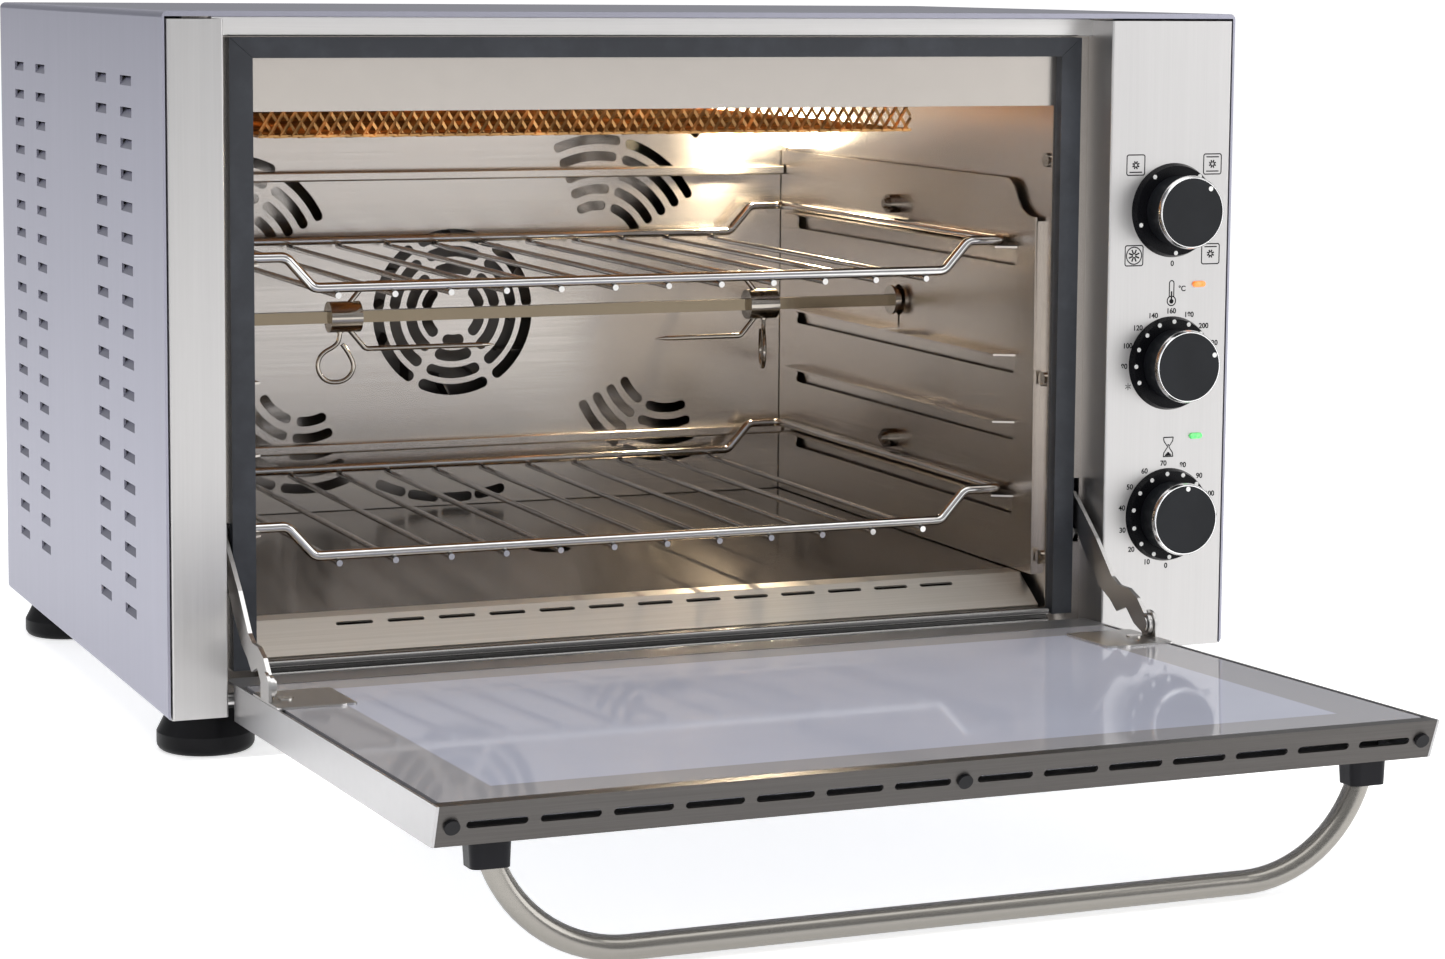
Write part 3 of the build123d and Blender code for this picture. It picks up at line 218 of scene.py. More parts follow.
def print_ink(name, colour):
    """Screen-printed ink, slightly uneven."""
    material, tree, shader = surface(name, colour, 0.5, Specular_IOR_Level=0.1)
    cloud = noise(tree, 900.0, 3.0, 0.6)
    tone = mix(tree, remap(tree, cloud, 0, 1), shade(colour, 0.85), shade(colour, 1.1))
    feed(tree, shader, "Base Color", tone)
    return material


def heater_sheath():
    """Oxidised heating rod that glows dull orange, more in places."""
    colour = (0.30, 0.14, 0.08)
    material, tree, shader = surface("heater_sheath", colour, 0.55, Metallic=0.4)
    cloud = noise(tree, 35.0, 3.0, 0.6)
    glow = mix(tree, remap(tree, cloud, 0, 1), (1.0, 0.22, 0.03), (1.0, 0.42, 0.10))
    feed(tree, shader, "Emission Color", glow)
    feed(tree, shader, "Emission Strength", remap(tree, cloud, 0.2, 0.7))
    return material


def heat_tinted_mesh_painted_light(name, colour):
    """Expanded steel sheet tinted by heat, with patches of painted light: emission that stands in for
    the glow the rods behind it throw on it.
    """
    material, tree, shader = surface(name, colour, 0.32, Metallic=1.0)
    cloud = noise(tree, 90.0, 3.0, 0.6)
    tint = mix(tree, remap(tree, cloud, 0, 1), shade(colour, 0.7), shade(colour, 1.3))
    # painted light: the sheet glows in patches where the rods behind it would light it
    glow = mix(tree, remap(tree, cloud, 0, 1), (0.30, 0.12, 0.03), (1.0, 0.28, 0.04))
    feed(tree, shader, "Base Color", tint)
    feed(tree, shader, "Emission Color", glow)
    feed(tree, shader, "Emission Strength", remap(tree, cloud, 0.0, 0.22, (0.5, 0.75)))
    return material


def mineral_wool():
    """Fibrous insulation."""
    colour = (0.80, 0.77, 0.66)
    material, tree, shader = surface("mineral_wool", colour, 0.95)
    fibre = noise(tree, 500.0, 6.0, 0.7, (1, 0.15, 1))
    tone = mix(tree, remap(tree, fibre, 0, 1), shade(colour, 0.6), colour)
    feed(tree, shader, "Base Color", tone)
    bump(tree, shader, fibre, 2 * MM, 0.8)
    return material


def split(tree, axis, where):
    """0 below a place on one axis of the part frame, 1 above it."""
    soft = 0.5 * MM
    position = add(tree, "ShaderNodeSeparateXYZ", Vector=place(tree)).outputs[axis]
    return remap(tree, position, 0, 1, (where - soft, where + soft))


def lens_material(name, lower, upper, height, glow):
    """Lit indicator lenses, of one colour below a height and another above it."""
    material, tree, shader = surface(name, upper, 0.15, Coat_Weight=0.5)
    cloud = noise(tree, 600.0, 2.0, 0.5)
    colour = mix(tree, split(tree, Z, height), lower, upper)
    varied = mix(tree, remap(tree, cloud, 0, 0.3), colour, (1.0, 0.85, 0.55))
    feed(tree, shader, "Base Color", colour)
    feed(tree, shader, "Emission Color", varied)
    shader.inputs["Emission Strength"].default_value = glow
    return material


def screw_steel(name, black_before):
    """Polished screws, black oxide on those that lie further forward than a place."""
    material, tree, shader = surface(name, (0.7, 0.7, 0.7), 0.2, Specular_IOR_Level=0.15)
    cloud = noise(tree, 60.0, 4.0, 0.6)
    black = mix(tree, cloud, (0.008, 0.008, 0.009), (0.02, 0.02, 0.022))
    steel = mix(tree, cloud, (0.62, 0.60, 0.58), (0.74, 0.71, 0.66))
    back = split(tree, Y, black_before)
    feed(tree, shader, "Base Color", mix(tree, back, black, steel))
    feed(tree, shader, "Metallic", remap(tree, back, 0.0, 1.0, (0, 1)))
    return material


def floor_steel(fold_y):
    """Mirror-like cavity floor, whose sloping front edge before the fold is duller, and painted paler
    as a painted highlight of the light it catches.
    """
    level_roughness, slope_roughness = 0.14, 0.42
    material, tree, shader = surface(
        "steel_floor", (0.31, 0.28, 0.25), level_roughness, Anisotropic=0.8, **sheet_metal
    )
    lay_grain(tree, shader, X)
    back = split(tree, Y, fold_y)
    grain = noise(tree, 900.0, 3.0, 0.6, (grain_squeeze, 1, 1))
    # painted highlight: the slope is made paler than the level floor, for the light it catches
    painted_lit_slope = mix(tree, remap(tree, grain, 0, 1), (0.52, 0.485, 0.435), (0.58, 0.545, 0.495))
    level = mix(tree, remap(tree, grain, 0, 1), (0.32, 0.285, 0.245), (0.345, 0.31, 0.27))
    feed(tree, shader, "Base Color", mix(tree, back, painted_lit_slope, level))
    feed(tree, shader, "Roughness", remap(tree, back, slope_roughness, level_roughness, (0, 1)))
    return material


def door_pane(name, border, window, half, span, opacity):
    """Door glass: a darker border round a lighter window. The border's colour is painted shade of the
    unlit gap behind the glass, the window's colour a painted reflection.

    half is the window's half width about the door's middle, span its (near, far) y, and
    opacity the window's alpha. The border is always opaque.
    """
    material, tree, shader = surface(name, window, 0.05, IOR=1.33)
    position = add(tree, "ShaderNodeSeparateXYZ", Vector=place(tree))
    offset = add(tree, "ShaderNodeMath", {"operation": "SUBTRACT"})
    tree.links.new(position.outputs["X"], offset.inputs[0])
    offset.inputs[1].default_value = door_mid_x
    spread = add(tree, "ShaderNodeMath", {"operation": "ABSOLUTE"})
    tree.links.new(offset.outputs[0], spread.inputs[0])
    soft = 0.6 * MM
    inside_x = remap(tree, spread.outputs[0], 1, 0, (half - soft, half + soft))
    far = remap(tree, position.outputs["Y"], 1, 0, (span[1] - soft, span[1] + soft))
    near = remap(tree, position.outputs["Y"], 0, 1, (span[0] - soft, span[0] + soft))
    both = add(tree, "ShaderNodeMath", {"operation": "MULTIPLY"})
    tree.links.new(far, both.inputs[0])
    tree.links.new(near, both.inputs[1])
    mask = add(tree, "ShaderNodeMath", {"operation": "MULTIPLY"})
    tree.links.new(both.outputs[0], mask.inputs[0])
    tree.links.new(inside_x, mask.inputs[1])
    haze = noise(tree, 9.0, 3.0, 0.5)
    tinted = mix(tree, remap(tree, haze, 0, 1), shade(window, 0.93), window)
    # painted shade in the border, painted reflection in the window
    feed(tree, shader, "Base Color", mix(tree, mask.outputs[0], border, tinted))
    feed(tree, shader, "Alpha", remap(tree, mask.outputs[0], 1.0, opacity, (0, 1)))
    return material


# ---------------------------------------------------------------- places from the frame
def centre(node):
    """Middle of a CAD node's box."""
    low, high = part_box(node)
    return (low + high) / 2


door_mid_x = centre("door_frame").x
panel_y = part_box("control_panel")[0].y
dial_x = centre("function_knob").x
dial_zs = {name: centre(f"{name}_knob").z for name in ("function", "temperature", "timer")}
bezel_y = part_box("dial_bezels")[0].y
fold_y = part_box("floor_plate")[0].y + 34 * MM  # where the floor's front edge slopes down

steel_side = brushed("steel_side", (0.35, 0.35, 0.415), 0.38, Z, 0.02)
steel_front = brushed("steel_front", (0.53, 0.52, 0.515), 0.34, Z, 0.05)
steel_level = brushed("steel_level", (0.77, 0.755, 0.735), 0.32, X, 0.05)
# the sill is the top rail's brushed steel painted dark: painted shade
sill_steel_painted_shade = brushed("sill_steel_painted_shade", (0.225, 0.22, 0.215), 0.24, X, 0.05)
steel_cavity = brushed("steel_cavity", (0.68, 0.64, 0.60), 0.24, X, 0.012, 900.0)
steel_runner = brushed("steel_runner", (0.60, 0.555, 0.51), 0.24, Y, 0.015, 900.0)
steel_floor = floor_steel(fold_y)
# the guard's emission is painted light from the rods behind it
steel_guard = heat_tinted_mesh_painted_light("steel_guard", (0.50, 0.28, 0.11))
steel_zinc = brushed("steel_zinc", (0.50, 0.51, 0.52), 0.38, X, 0.05)
steel_stay = brushed("steel_stay", (0.56, 0.55, 0.54), 0.32, Y, 0.05)
steel_door = brushed("steel_door", (0.46, 0.455, 0.46), 0.32, X, 0.05)
# the door cap is the door's steel painted dark: painted shade
cap_steel_painted_shade = brushed("cap_steel_painted_shade", (0.100, 0.094, 0.090), 0.36, X, 0.2)
# the handle's steel is painted darker: painted shade for its darker reflections
handle_steel_painted_shade = brushed("handle_steel_painted_shade", (0.30, 0.285, 0.26), 0.22, X, 0.08)
chrome = polished("chrome_wire", (0.66, 0.65, 0.64), 0.08, 0.03)
# the spit rod's steel is painted dark brown: a painted reflection of the cavity
spit_steel_painted_reflection = polished("spit_steel_painted_reflection", (0.19, 0.155, 0.11), 0.12, 0.04)
bright = polished("bright_steel", (0.46, 0.42, 0.37), 0.10, 0.03)
# the fan's aluminium is painted dark: painted shade behind the baffle's slots
aluminium_painted_shade = polished("aluminium_painted_shade", (0.20, 0.19, 0.18), 0.45)
gasket_rubber = rubber("gasket_rubber", (0.034, 0.037, 0.044), 0.5)
foot_rubber = rubber("foot_rubber", (0.007, 0.007, 0.008), 0.4, 0.12)
socket_plastic = plastic("socket_plastic", (0.006, 0.006, 0.008), 0.35, 0.15)
dial_plastic = plastic("dial_plastic", (0.004, 0.004, 0.005), 0.28, 0.10)
knob_plastic = plastic("knob_plastic", (0.010, 0.011, 0.013), 0.34, 0.18)
case_plastic = plastic("case_plastic", (0.03, 0.03, 0.032), 0.5)
motor_paint = painted("motor_paint", (0.30, 0.30, 0.31))
wool = mineral_wool()
sheath = heater_sheath()
cold_sheath = polished("cold_sheath", (0.30, 0.27, 0.25), 0.4)
ink_black = print_ink("ink_black", (0.008, 0.008, 0.009))
ink_white = print_ink("ink_white", (0.88, 0.88, 0.86))

green, orange = (0.06, 0.60, 0.14), (1.0, 0.22, 0.02)
lens_glow = lens_material("lens_glow", green, orange, centre("indicator_lenses").z, 0.7)
door_screw_steel = screw_steel("door_screw_steel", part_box("door_frame")[0].y + 12 * MM)

inner_low, inner_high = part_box("inner_glass")
window_half = 192 * MM
window_span = (inner_low.y + 23 * MM, inner_high.y - 22 * MM)
# both panes carry painted shade in their borders and a painted reflection in their windows
pane_inner = door_pane(
    "pane_inner", (0.33, 0.325, 0.345), (0.48, 0.50, 0.60), window_half, window_span, 1.0
)
pane_outer = door_pane(
    "pane_outer", (0.16, 0.16, 0.16), (0.60, 0.61, 0.63), window_half, window_span, 0.35
)

lamp_bulb, lamp_tree, lamp_shader = surface("lamp_bulb", (1.0, 0.95, 0.85), 0.1)
lamp_cloud = noise(lamp_tree, 300.0, 2.0, 0.5)
lamp_glow = mix(lamp_tree, lamp_cloud, (1.0, 0.80, 0.50), (1.0, 0.90, 0.70))
feed(lamp_tree, lamp_shader, "Emission Color", lamp_glow)
lamp_shader.inputs["Emission Strength"].default_value = 13.0

finishes = {
    steel_side: ["outer_wrapper"],
    steel_front: ["left_pillar", "control_panel"],
    steel_level: ["top_rail"],
    sill_steel_painted_shade: ["front_sill"],
    steel_zinc: ["base_pan", "back_panel", "rear_cover"],
    steel_cavity: ["cavity_liner", "fan_baffle", "rack_stop_bars"],
    steel_runner: ["rack_support_left", "rack_support_right", "spit_cradle", "face_frame"],
    steel_floor: ["floor_plate"],
    steel_guard: ["grill_guard"],
    steel_stay: ["hinge_arm_left", "hinge_arm_right", "hinge_brackets", "hinge_pins"],
    steel_door: ["door_frame"],
    cap_steel_painted_shade: ["door_cap"],
    handle_steel_painted_shade: ["door_handle"],
    chrome: ["upper_rack", "lower_rack"],
    bright: [
        "thumb_nuts",
        "fork_left",
        "fork_right",
        "fork_screw_left",
        "fork_screw_right",
        "drive_socket",
        "case_screws",
    ],
    spit_steel_painted_reflection: ["spit_rod"],
    aluminium_painted_shade: ["fan_impeller"],
    gasket_rubber: ["door_gasket"],
    foot_rubber: ["feet"],
    socket_plastic: ["handle_sockets"],
    dial_plastic: ["dial_bezels"],
    knob_plastic: ["function_knob", "temperature_knob", "timer_knob"],
    case_plastic: ["cable_gland", "mode_switch"],
    motor_paint: ["fan_motor", "spit_motor", "thermostat", "timer", "lamp_holder"],
    wool: ["insulation_blanket"],
    sheath: ["grill_element"],
    pane_inner: ["inner_glass"],
    pane_outer: ["outer_glass"],
    lamp_bulb: ["lamp_glass"],
    cold_sheath: ["lower_element", "ring_element"],
    lens_glow: ["indicator_lenses"],
    door_screw_steel: ["door_screws"],
}

for material, names in finishes.items():
    for name in names:
        slots = nodes[name].data.materials
        slots.clear()
        slots.append(material)
unfinished = set(nodes) - {name for names in finishes.values() for name in names}
if unfinished:
    raise RuntimeError(f"no finish for {sorted(unfinished)}")


# ---------------------------------------------------------------- mesh helpers
def link(name, data):
    """New object in the scene."""
    made = bpy.data.objects.new(name, data)
    bpy.context.scene.collection.objects.link(made)
    return made


def piece(name, mesh, material, body):
    """Mesh object with a material, riding on a CAD body."""
    made = link(name, mesh)
    mesh.materials.clear()
    mesh.materials.append(material)
    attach(made, body)
    return made


def lathe(name, profile, place_matrix, segments=96):
    """Mesh turned from (radius, height) points about local Z. A radius of 0 ends it in a point."""
    bm = bmesh.new()
    turns = [2 * pi * i / segments for i in range(segments)]
    rings = []
    for radius, height in profile:
        if radius == 0:
            rings.append([bm.verts.new((0, 0, height))])
        else:
            rings.append([bm.verts.new((radius * cos(a), radius * sin(a), height)) for a in turns])
    for low, high in zip(rings, rings[1:]):
        for i in range(segments):
            j = (i + 1) % segments
            corners = [ring[k % len(ring)] for ring, k in ((low, i), (low, j), (high, j), (high, i))]
            bm.faces.new(dict.fromkeys(corners))
    bmesh.ops.recalc_face_normals(bm, faces=bm.faces)
    mesh = bpy.data.meshes.new(name)
    bm.to_mesh(mesh)
    bm.free()
    mesh.transform(place_matrix)
    for face in mesh.polygons:
        face.use_smooth = True
    mesh.set_sharp_from_angle(angle=radians(32))
    return mesh


def towards_front(x, y, z):
    """Matrix that stands local Z along -Y at the point, with local Y up."""
    return Matrix.Translation((x, y, z)) @ Matrix.Rotation(radians(90), 4, "X")


def merged(name, parts):
    """One mesh from several curve, text or mesh objects, which are removed."""
    bpy.context.view_layer.update()
    depsgraph = bpy.context.evaluated_depsgraph_get()
    bm = bmesh.new()
    for part in parts:
        mesh = bpy.data.meshes.new_from_object(part.evaluated_get(depsgraph))
        mesh.transform(part.matrix_world)
        bm.from_mesh(mesh)
        bpy.data.meshes.remove(mesh)
    for part in parts:
        bpy.data.objects.remove(part)
    mesh = bpy.data.meshes.new(name)
    bm.to_mesh(mesh)
    bm.free()
    return mesh


def stroke(points, width, where, closed=False):
    """Printed line through flat (x, y) points, on the plane that where places."""
    flatness = 0.25
    curve = bpy.data.curves.new("stroke", "CURVE")
    curve.dimensions = "3D"
    curve.bevel_depth = width / 2
    curve.bevel_resolution = 2
    spline = curve.splines.new("POLY")
    spline.points.add(len(points) - 1)
    for point, (x, y) in zip(spline.points, points):
        point.co = (x, y, 0, 1)
    spline.use_cyclic_u = closed
    made = link("stroke", curve)
    made.matrix_world = where @ Matrix.Diagonal((1, 1, flatness, 1))
    return made


def circle_points(radius, count=40, middle=(0, 0)):
    """Points round a circle."""
    turns = [2 * pi * i / count for i in range(count)]
    return [(middle[0] + radius * cos(a), middle[1] + radius * sin(a)) for a in turns]


def disc(radius, where):
    """Slightly crowned round dot on the plane that where places."""
    edge, crown = 0.1 * MM, 0.12 * MM
    return link("dot", lathe("dot", [(radius, -edge), (radius, edge), (0, crown)], where, 32))


def digits(text, size, where):
    """Generic printed characters, centred where they are placed."""
    font = bpy.data.curves.new("digits", "FONT")
    font.body = text
    font.size = size
    font.align_x = "CENTER"
    font.align_y = "CENTER"
    font.extrude = 0.08 * MM
    font.offset = 0.09 * MM
    made = link("digits", font)
    made.matrix_world = where
    return made


def around(radius, clockwise):
    """Flat (x, y) at an angle in degrees clockwise from the top."""
    return radius * sin(radians(clockwise)), radius * cos(radians(clockwise))


# ---------------------------------------------------------------- knobs and dials
# clockwise angles in degrees from the top at which the knobs point
pointer_angles = {"function": 41, "temperature": 69, "timer": 4}
pointer_radius = 15.6 * MM
pointer_dot = 1.25 * MM
bright_rim = polished("bright_rim", (0.88, 0.88, 0.88), 0.12)


def knob_profile(length):
    """Turned knob: a shallow foot, a nearly straight side and a step that the rim sits on."""
    face = length - 0.15 * MM
    return [
        (0, 0),
        (17.3 * MM, 0),
        (17.6 * MM, 0.5 * MM),
        (17.75 * MM, length - 2.4 * MM),
        (17.3 * MM, length - 2.0 * MM),
        (17.3 * MM, length - 0.5 * MM),
        (16.9 * MM, face),
        (0, face),
    ]


def rim_profile(length):
    """Chamfered ring round the knob's face, closed on itself."""
    inside = (17.2 * MM, length - 2.3 * MM)
    return [
        inside,
        (18.2 * MM, length - 2.3 * MM),
        (18.4 * MM, length - 2.0 * MM),
        (18.3 * MM, length - 1.3 * MM),
        (17.5 * MM, length),
        (17.15 * MM, length),
        inside,
    ]


def dress_knob(name):
    """Turned knob with a bright chamfered rim and a white pointer dot."""
    node = f"{name}_knob"
    front_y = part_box(node)[0].y
    base_y = bezel_y - 0.3 * MM
    length = base_y - front_y
    where = towards_front(dial_x, base_y, dial_zs[name])
    body = lathe(node, knob_profile(length), where)
    knob = piece(f"{name}_knob_body", body, knob_plastic, node)
    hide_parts(node)
    rim = lathe("rim", rim_profile(length), where)
    piece(f"{name}_knob_rim", rim, bright_rim, node)
    x, z = around(pointer_radius, pointer_angles[name])
    dot_place = towards_front(dial_x + x, front_y + 0.12 * MM, dial_zs[name] + z)
    dot = merged("dot", [disc(pointer_dot, dot_place)])
    piece(f"{name}_knob_dot", dot, ink_white, node)


for dial in dial_zs:
    dress_knob(dial)

# white dots on the bezels, at clockwise angles from the top
temperature_step = 23.0
timer_step = 24.9
dot_angles = {
    "function": [180, -109, -37, 37, 109],
    "temperature": [temperature_step * i for i in range(-5, 4)],
    "timer": [180 + timer_step * i for i in range(13)],
}
dot_circle, dot_size = 21.4 * MM, 1.1 * MM
marks = []
for dial, angles in dot_angles.items():
    for angle in angles:
        x, z = around(dot_circle, angle)
        marks.append(disc(dot_size, towards_front(dial_x + x, bezel_y, dial_zs[dial] + z)))
piece("bezel_dots", merged("bezel_dots", marks), ink_white, "cabinet")

prints = []


def on_panel(dial, x, z):
    """Matrix on the control panel's face, x and z from a dial's centre."""
    return towards_front(dial_x + x, panel_y, dial_zs[dial] + z)


# degrees from 80 to 220, and minutes from 0 to 120
label_circle, label_size, sign_size = 26.4 * MM, 3.7 * MM, 3.8 * MM
for i in range(8):
    x, z = around(label_circle, temperature_step * (i - 4))
    prints.append(digits(str(80 + 20 * i), label_size, on_panel("temperature", x, z)))
for i in range(13):
    x, z = around(label_circle, 180 + timer_step * i)
    prints.append(digits(str(10 * i), label_size, on_panel("timer", x, z)))
prints.append(digits("0", sign_size, on_panel("function", 0, -27 * MM)))
line = 0.6 * MM


def rays(where, inner, outer, count, width):
    """Short strokes that point away from a middle."""
    made = []
    for i in range(count):
        a = 2 * pi * (i + 0.5) / count
        ends = [(inner * cos(a), inner * sin(a)), (outer * cos(a), outer * sin(a))]
        made.append(stroke(ends, width, where))
    return made


def mode_sign(x, z, above, below, ring):
    """Mode symbol: a framed fan, with bars for the elements that heat."""
    where = on_panel("function", x, z)
    side, corner, corner_points = 5.1 * MM, 1.1 * MM, 16
    blade_root, blade_tip, blades, blade_width = 0.7 * MM, 2.1 * MM, 8, 0.8 * MM
    ring_tip, ring_radius = 3.2 * MM, 4.3 * MM
    bar = 3.6 * MM
    frame_points = []
    for k in range(corner_points):
        a = 2 * pi * (k + 0.5) / corner_points
        frame_points.append(
            (
                (side - corner) * (1 if cos(a) > 0 else -1) + corner * cos(a),
                (side - corner) * (1 if sin(a) > 0 else -1) + corner * sin(a),
            )
        )
    made = [stroke(frame_points, line, where, True)]
    made += rays(where, blade_root, ring_tip if ring else blade_tip, blades, blade_width)
    if ring:
        made.append(stroke(circle_points(ring_radius), line, where, True))
    for present, level in ((above, bar), (below, -bar)):
        if present:
            made.append(stroke([(-bar, level), (bar, level)], line, where))
    return made


sign_x, upper_sign_z, lower_sign_z = 22 * MM, 23 * MM, -22.5 * MM
prints += mode_sign(-sign_x, upper_sign_z, False, True, False)
prints += mode_sign(sign_x, upper_sign_z, True, True, False)
prints += mode_sign(-sign_x, lower_sign_z, False, False, True)
prints += mode_sign(sign_x, lower_sign_z, True, False, False)

# snowflake below 80
flake = on_panel("temperature", *around(label_circle, -temperature_step * 5))
prints += rays(flake, 0.3 * MM, 1.8 * MM, 6, 0.4 * MM)

# thermometer and degree sign, above the temperature dial's middle
thermometer = on_panel("temperature", 0, 0)
stem_half, stem_foot, stem_top = 1.3 * MM, 33.4 * MM, 40.6 * MM
bulb_radius, bulb_z = 2.4 * MM, 31.6 * MM
mercury_low, mercury_high = 31.4 * MM, 36.5 * MM
stem_points = [(-stem_half, stem_foot)]
for k in range(9):
    a = pi * (1 - k / 8)
    stem_points.append((stem_half * cos(a), stem_top + stem_half * sin(a)))
stem_points.append((stem_half, stem_foot))
prints.append(stroke(stem_points, line, thermometer))
prints.append(stroke(circle_points(bulb_radius, 32, (0, bulb_z)), line, thermometer, True))
prints.append(stroke([(0, mercury_low), (0, mercury_high)], 0.9 * MM, thermometer))
prints.append(disc(1.2 * MM, on_panel("temperature", 0, mercury_low)))
prints.append(digits("°C", sign_size, on_panel("temperature", 6.0 * MM, 37.6 * MM)))

# hourglass, in millimetres from its waist
hourglass = on_panel("timer", 0, 34.6 * MM)
glass_side = [(2.8, 4.9), (2.5, 3.0), (0.35, 0.0), (2.5, -3.0), (2.8, -4.9)]
cap_half, cap_level = 2.9 * MM, 4.9 * MM
sand = ((1.9, -4.2), (1.3, -3.6), (0.6, -3.0), (0.5, 1.0))
for side in (-1, 1):
    prints.append(stroke([(side * x * MM, z * MM) for x, z in glass_side], line, hourglass))
for level in (-cap_level, cap_level):
    prints.append(stroke([(-cap_half, level), (cap_half, level)], line, hourglass))
for half, level in sand:
    grains = [(-half * MM, level * MM), (half * MM, level * MM)]
    prints.append(stroke(grains, 0.7 * MM, hourglass))
piece("panel_print", merged("panel_print", prints), ink_black, "cabinet")


# ---------------------------------------------------------------- eye screws
# flat (x, z) path of the bent wire in millimetres, from inside the fork's collar
eye_path = [
    (0, 1),
    (0, -3),
    (-2, -7),
    (-10.5, -11),
    (-12.5, -19),
    (-7.5, -26),
    (3, -26),
    (8.5, -19),
    (5, -11),
    (1.5, -6.5),
]
wire_thickness = 2.4 * MM
crossing = 1.3 * MM  # how far the wire's free end lies beside its start
stem_radius = 1.7 * MM


def eye_screw(name, turn):
    """Fork screw bent from one wire: a stem, then a teardrop eye whose free end crosses it.

    turn is the eye's angle about the screw, in degrees.
    """
    node = f"fork_screw_{name}"
    middle = centre(node)
    top_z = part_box(node)[1].z
    collar_z = centre(f"fork_{name}").z - 8.0 * MM
    curve = bpy.data.curves.new("eye", "CURVE")
    curve.dimensions = "3D"
    curve.bevel_depth = wire_thickness / 2
    curve.bevel_resolution = 5
    curve.use_fill_caps = True
    spline = curve.splines.new("NURBS")
    last = len(eye_path) - 1
    spline.points.add(last)
    for i, (point, (x, z)) in enumerate(zip(spline.points, eye_path)):
        point.co = (x * MM, crossing * i / last, z * MM, 1)
    spline.order_u = 3
    spline.use_endpoint_u = True
    spline.resolution_u = 8
    wire = link("eye", curve)
    collar = Matrix.Translation((middle.x, middle.y, collar_z))
    wire.matrix_world = collar @ Matrix.Rotation(radians(turn), 4, "Z")
    stem_base = collar_z - 0.5 * MM
    length = top_z - stem_base
    stem_profile = [(0, 0), (stem_radius, 0), (stem_radius, length), (0, length)]
    stem_place = Matrix.Translation((middle.x, middle.y, stem_base))
    stem = link("stem", lathe("stem", stem_profile, stem_place, 24))
    screw = piece(f"eye_screw_{name}", merged(node, [wire, stem]), bright, node)
    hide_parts(node)


eye_screw("left", 0)
eye_screw("right", 72)


# ---------------------------------------------------------------- grill guard
def strand(bm, start, end, width, thickness, facing, twist):
    """Flat strip between two points, turned about its own length from a facing direction."""
    along = (end - start).normalized()
    across = along.cross(facing).normalized()
    across = Matrix.Rotation(radians(twist), 3, along) @ across
    through = along.cross(across)
    corners = [
        bm.verts.new(point + across * (a * width / 2) + through * (b * thickness / 2))
        for point in (start, end)
        for a, b in ((-1, -1), (1, -1), (1, 1), (-1, 1))
    ]
    bm.faces.new(corners[3::-1])
    bm.faces.new(corners[4:])
    for i in range(4):
        j = (i + 1) % 4
        bm.faces.new((corners[i], corners[j], corners[4 + j], corners[4 + i]))


def clipped(u, rise, size):
    """Ends of the line that starts at u on the bottom edge and rises across a size rectangle."""
    low = max(0.0, -u / rise) if rise > 0 else max(0.0, (u - size[0]) / -rise)
    high = min(size[1], (size[0] - u) / rise) if rise > 0 else min(size[1], u / -rise)
    return (u + rise * low, low), (u + rise * high, high)


def crossed(bm, size, pitch, rise, to_point, facing, widths, twist):
    """Two families of strands that cross in a rectangle, as in expanded sheet.

    Strands are pitch apart and run rise along for each unit across. to_point turns flat (u, v)
    into a place, facing is the rectangle's normal, and twist turns the strands, in degrees.
    """
    thickness, layer, shortest = 0.5 * MM, 0.25 * MM, 1.5 * MM
    reach = rise * size[1]
    count = int((size[0] + reach) / pitch)
    for sign, width in zip((1, -1), widths):
        for i in range(count + 1):
            u = i * pitch - (reach if sign > 0 else 0) + pitch / 4
            start, end = clipped(u, sign * rise, size)
            if end[1] - start[1] > shortest:
                ends = [to_point(*flat) + facing * (sign * layer) for flat in (start, end)]
                strand(bm, *ends, width, thickness, facing, sign * twist)


guard_low, guard_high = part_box("grill_guard")
guard_size = guard_high - guard_low
guard_inset = 0.4 * MM
lip_y = guard_low.y + guard_inset
level_z = guard_low.z + guard_inset
down, forward = Vector((0, 0, -1)), Vector((0, -1, 0))


def on_lip(u, v):
    """Place on the guard's upright front lip."""
    return Vector((guard_low.x + u, lip_y, guard_low.z + v))


def on_level(u, v):
    """Place on the guard's level sheet under the grill rod."""
    return Vector((guard_low.x + u, guard_low.y + v, level_z))


lip_size, lip_pitch, lip_rise = (guard_size.x, guard_size.z), 5.7 * MM, 0.63
lip_widths, lip_twist = (2.5 * MM, 1.4 * MM), 38
level_size, level_pitch, level_rise = (guard_size.x, guard_size.y), 11.5 * MM, 1.6
level_widths, level_twist = (1.6 * MM, 1.6 * MM), 30
lattice = bmesh.new()
crossed(lattice, lip_size, lip_pitch, lip_rise, on_lip, forward, lip_widths, lip_twist)
crossed(lattice, level_size, level_pitch, level_rise, on_level, down, level_widths, level_twist)
border = 1.2 * MM
level_corners = [
    Vector((guard_low.x, lip_y, level_z)),
    Vector((guard_high.x, lip_y, level_z)),
    Vector((guard_high.x, guard_high.y, level_z)),
    Vector((guard_low.x, guard_high.y, level_z)),
]
for i in range(4):
    strand(lattice, level_corners[i - 1], level_corners[i], border, border, down, 0)
guard_mesh = bpy.data.meshes.new("grill_guard_mesh")
lattice.to_mesh(guard_mesh)
lattice.free()
guard = piece("grill_guard_mesh", guard_mesh, steel_guard, "cabinet")
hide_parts("grill_guard")

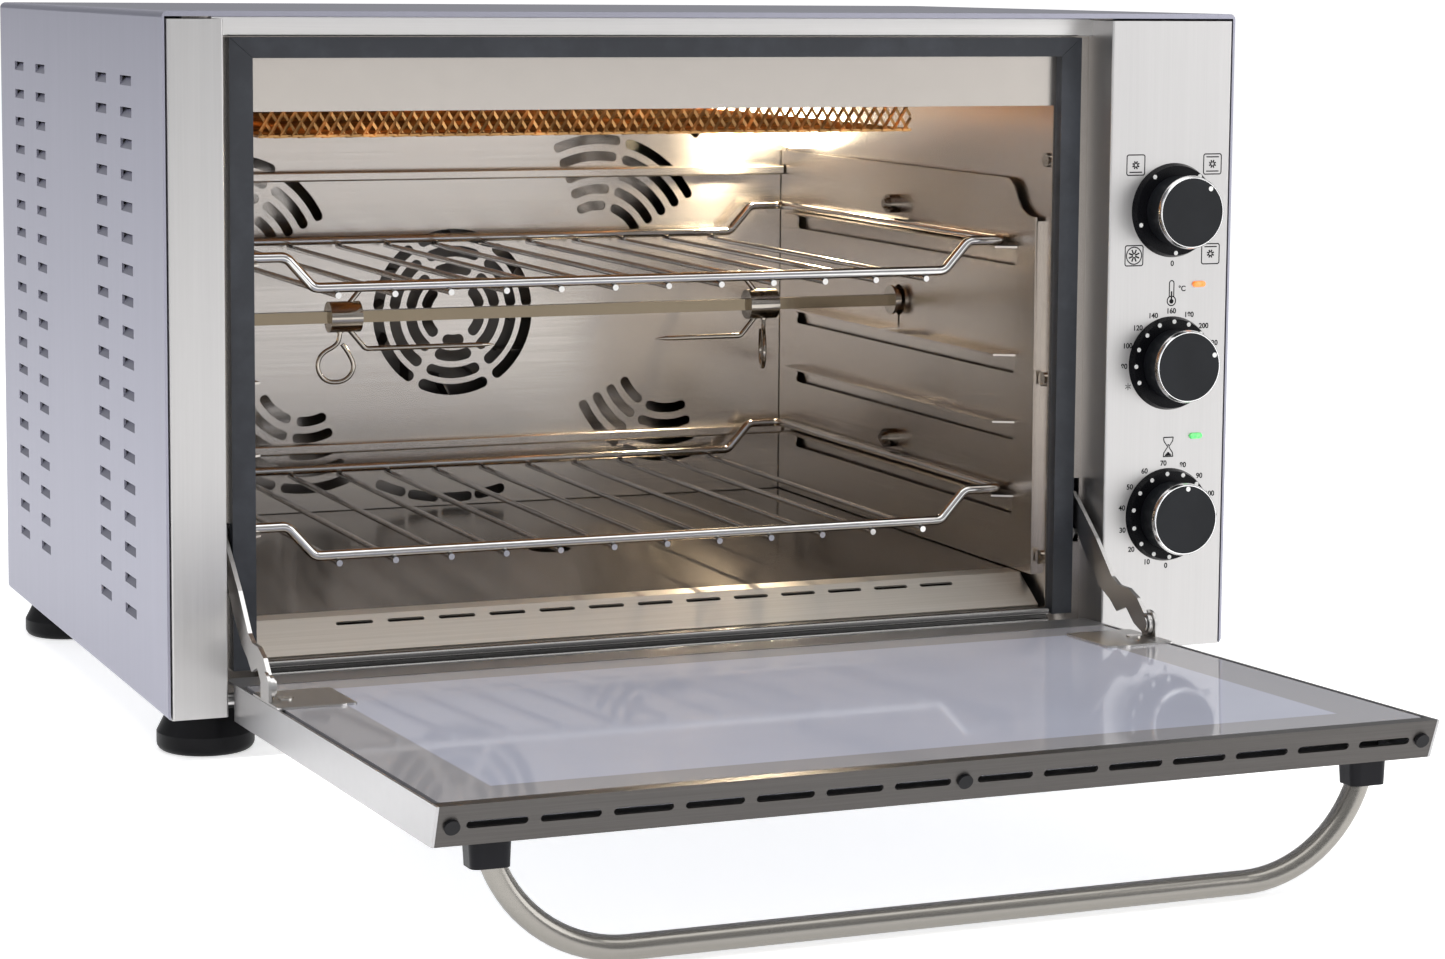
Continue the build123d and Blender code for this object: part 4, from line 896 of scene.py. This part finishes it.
# ---------------------------------------------------------------- camera
camera_data = bpy.data.cameras.new("camera")
camera = link("camera", camera_data)
image_width = 1445
focal_pixels = 3503.2
camera_data.sensor_width = 36.0
camera_data.lens = focal_pixels / image_width * camera_data.sensor_width
camera_data.clip_end = 300.0
camera_data.shift_y = -120 / image_width  # the photograph's verticals were straightened
pitch, yaw, roll = radians(6.269), radians(22.519), radians(0.443)
view = Vector((sin(yaw) * cos(pitch), cos(yaw) * cos(pitch), -sin(pitch)))
right = Vector((cos(yaw), -sin(yaw), 0))
up = right.cross(view)
tilted_right = right * cos(roll) + up * sin(roll)
tilted_up = up * cos(roll) - right * sin(roll)
turn = Matrix((tilted_right, tilted_up, -view)).transposed()
camera.matrix_world = Matrix.Translation((-0.6428, -1.7276, 0.3608)) @ turn.to_4x4()
bpy.context.scene.camera = camera


# ---------------------------------------------------------------- stage and light
def stage_slab(name, low, high, material):
    """Pale block of the stage."""
    bm = bmesh.new()
    bmesh.ops.create_cube(bm, size=1)
    mesh = bpy.data.meshes.new(name)
    bm.to_mesh(mesh)
    bm.free()
    size = Vector(high) - Vector(low)
    mesh.transform(Matrix.Translation((Vector(low) + Vector(high)) / 2) @ Matrix.Diagonal((*size, 1)))
    mesh.materials.append(material)
    made = link(name, mesh)
    return made


stage_white, _, stage_shader = surface("stage_white", (0.94, 0.94, 0.94), 0.9)
stage_shader.inputs["Emission Color"].default_value = (1, 1, 1, 1)
stage_shader.inputs["Emission Strength"].default_value = 0.6
# the oven stands on a plinth, so that the open door's handle can hang below its feet
stage_reach, floor_thickness = 90.0, 0.05
floor_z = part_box("door_handle")[0].z - 2 * MM
plinth_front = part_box("feet")[0].y - 4 * MM
far_corner = (stage_reach, stage_reach)
floor_low = (-stage_reach, -stage_reach, floor_z - floor_thickness)
stage_slab("floor", floor_low, (*far_corner, floor_z), stage_white)
stage_slab("plinth", (-stage_reach, plinth_front, floor_z), (*far_corner, 0), stage_white)

world = bpy.data.worlds.new("studio")
bpy.context.scene.world = world
world.use_nodes = True
sky = world.node_tree
background = sky.nodes["Background"]
direction = add(sky, "ShaderNodeTexCoord").outputs["Generated"]
height = add(sky, "ShaderNodeSeparateXYZ", Vector=direction).outputs["Z"]
tone = mix(sky, remap(sky, height, 0, 1, (-0.1, 0.7)), (0.52, 0.53, 0.57), (1.0, 1.0, 1.0))
sky.links.new(tone, background.inputs["Color"])
background.inputs["Strength"].default_value = 0.55


def softbox(name, place_at, aim, size, power, colour=(1, 1, 1)):
    """Rectangular area light aimed at a point, its power in watts."""
    data = bpy.data.lights.new(name, "AREA")
    data.shape = "RECTANGLE"
    data.size, data.size_y = size
    data.energy = power
    data.color = colour
    made = link(name, data)
    facing = (Vector(aim) - Vector(place_at)).to_track_quat("-Z", "Y")
    made.matrix_world = Matrix.Translation(place_at) @ facing.to_matrix().to_4x4()
    return made


softbox("top_light", (0.0, -0.6, 2.2), (0, -0.1, 0.1), (2.6, 2.2), 32)
softbox("right_light", (2.2, -2.0, 1.0), (0, -0.1, 0.2), (1.6, 1.8), 20)
softbox("left_light", (-2.4, -0.3, 0.9), (-0.2, 0, 0.2), (1.4, 1.6), 5, (0.90, 0.93, 1.0))

# the oven lamp shines from just in front of its glass, across and down into the cavity
lamp_middle = centre("lamp_glass")
lamp_face = Vector((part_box("lamp_glass")[0].x - 1.5 * MM, lamp_middle.y, lamp_middle.z))
lamp_aim = lamp_face + Vector((-1, -0.1, -0.6))
lamp_size = (16 * MM, 16 * MM)
lamp_light = softbox("lamp_light", lamp_face, lamp_aim, lamp_size, 1.3, (1.0, 0.80, 0.55))
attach(lamp_light, "cabinet")

bpy.context.scene.view_settings.view_transform = "Standard"
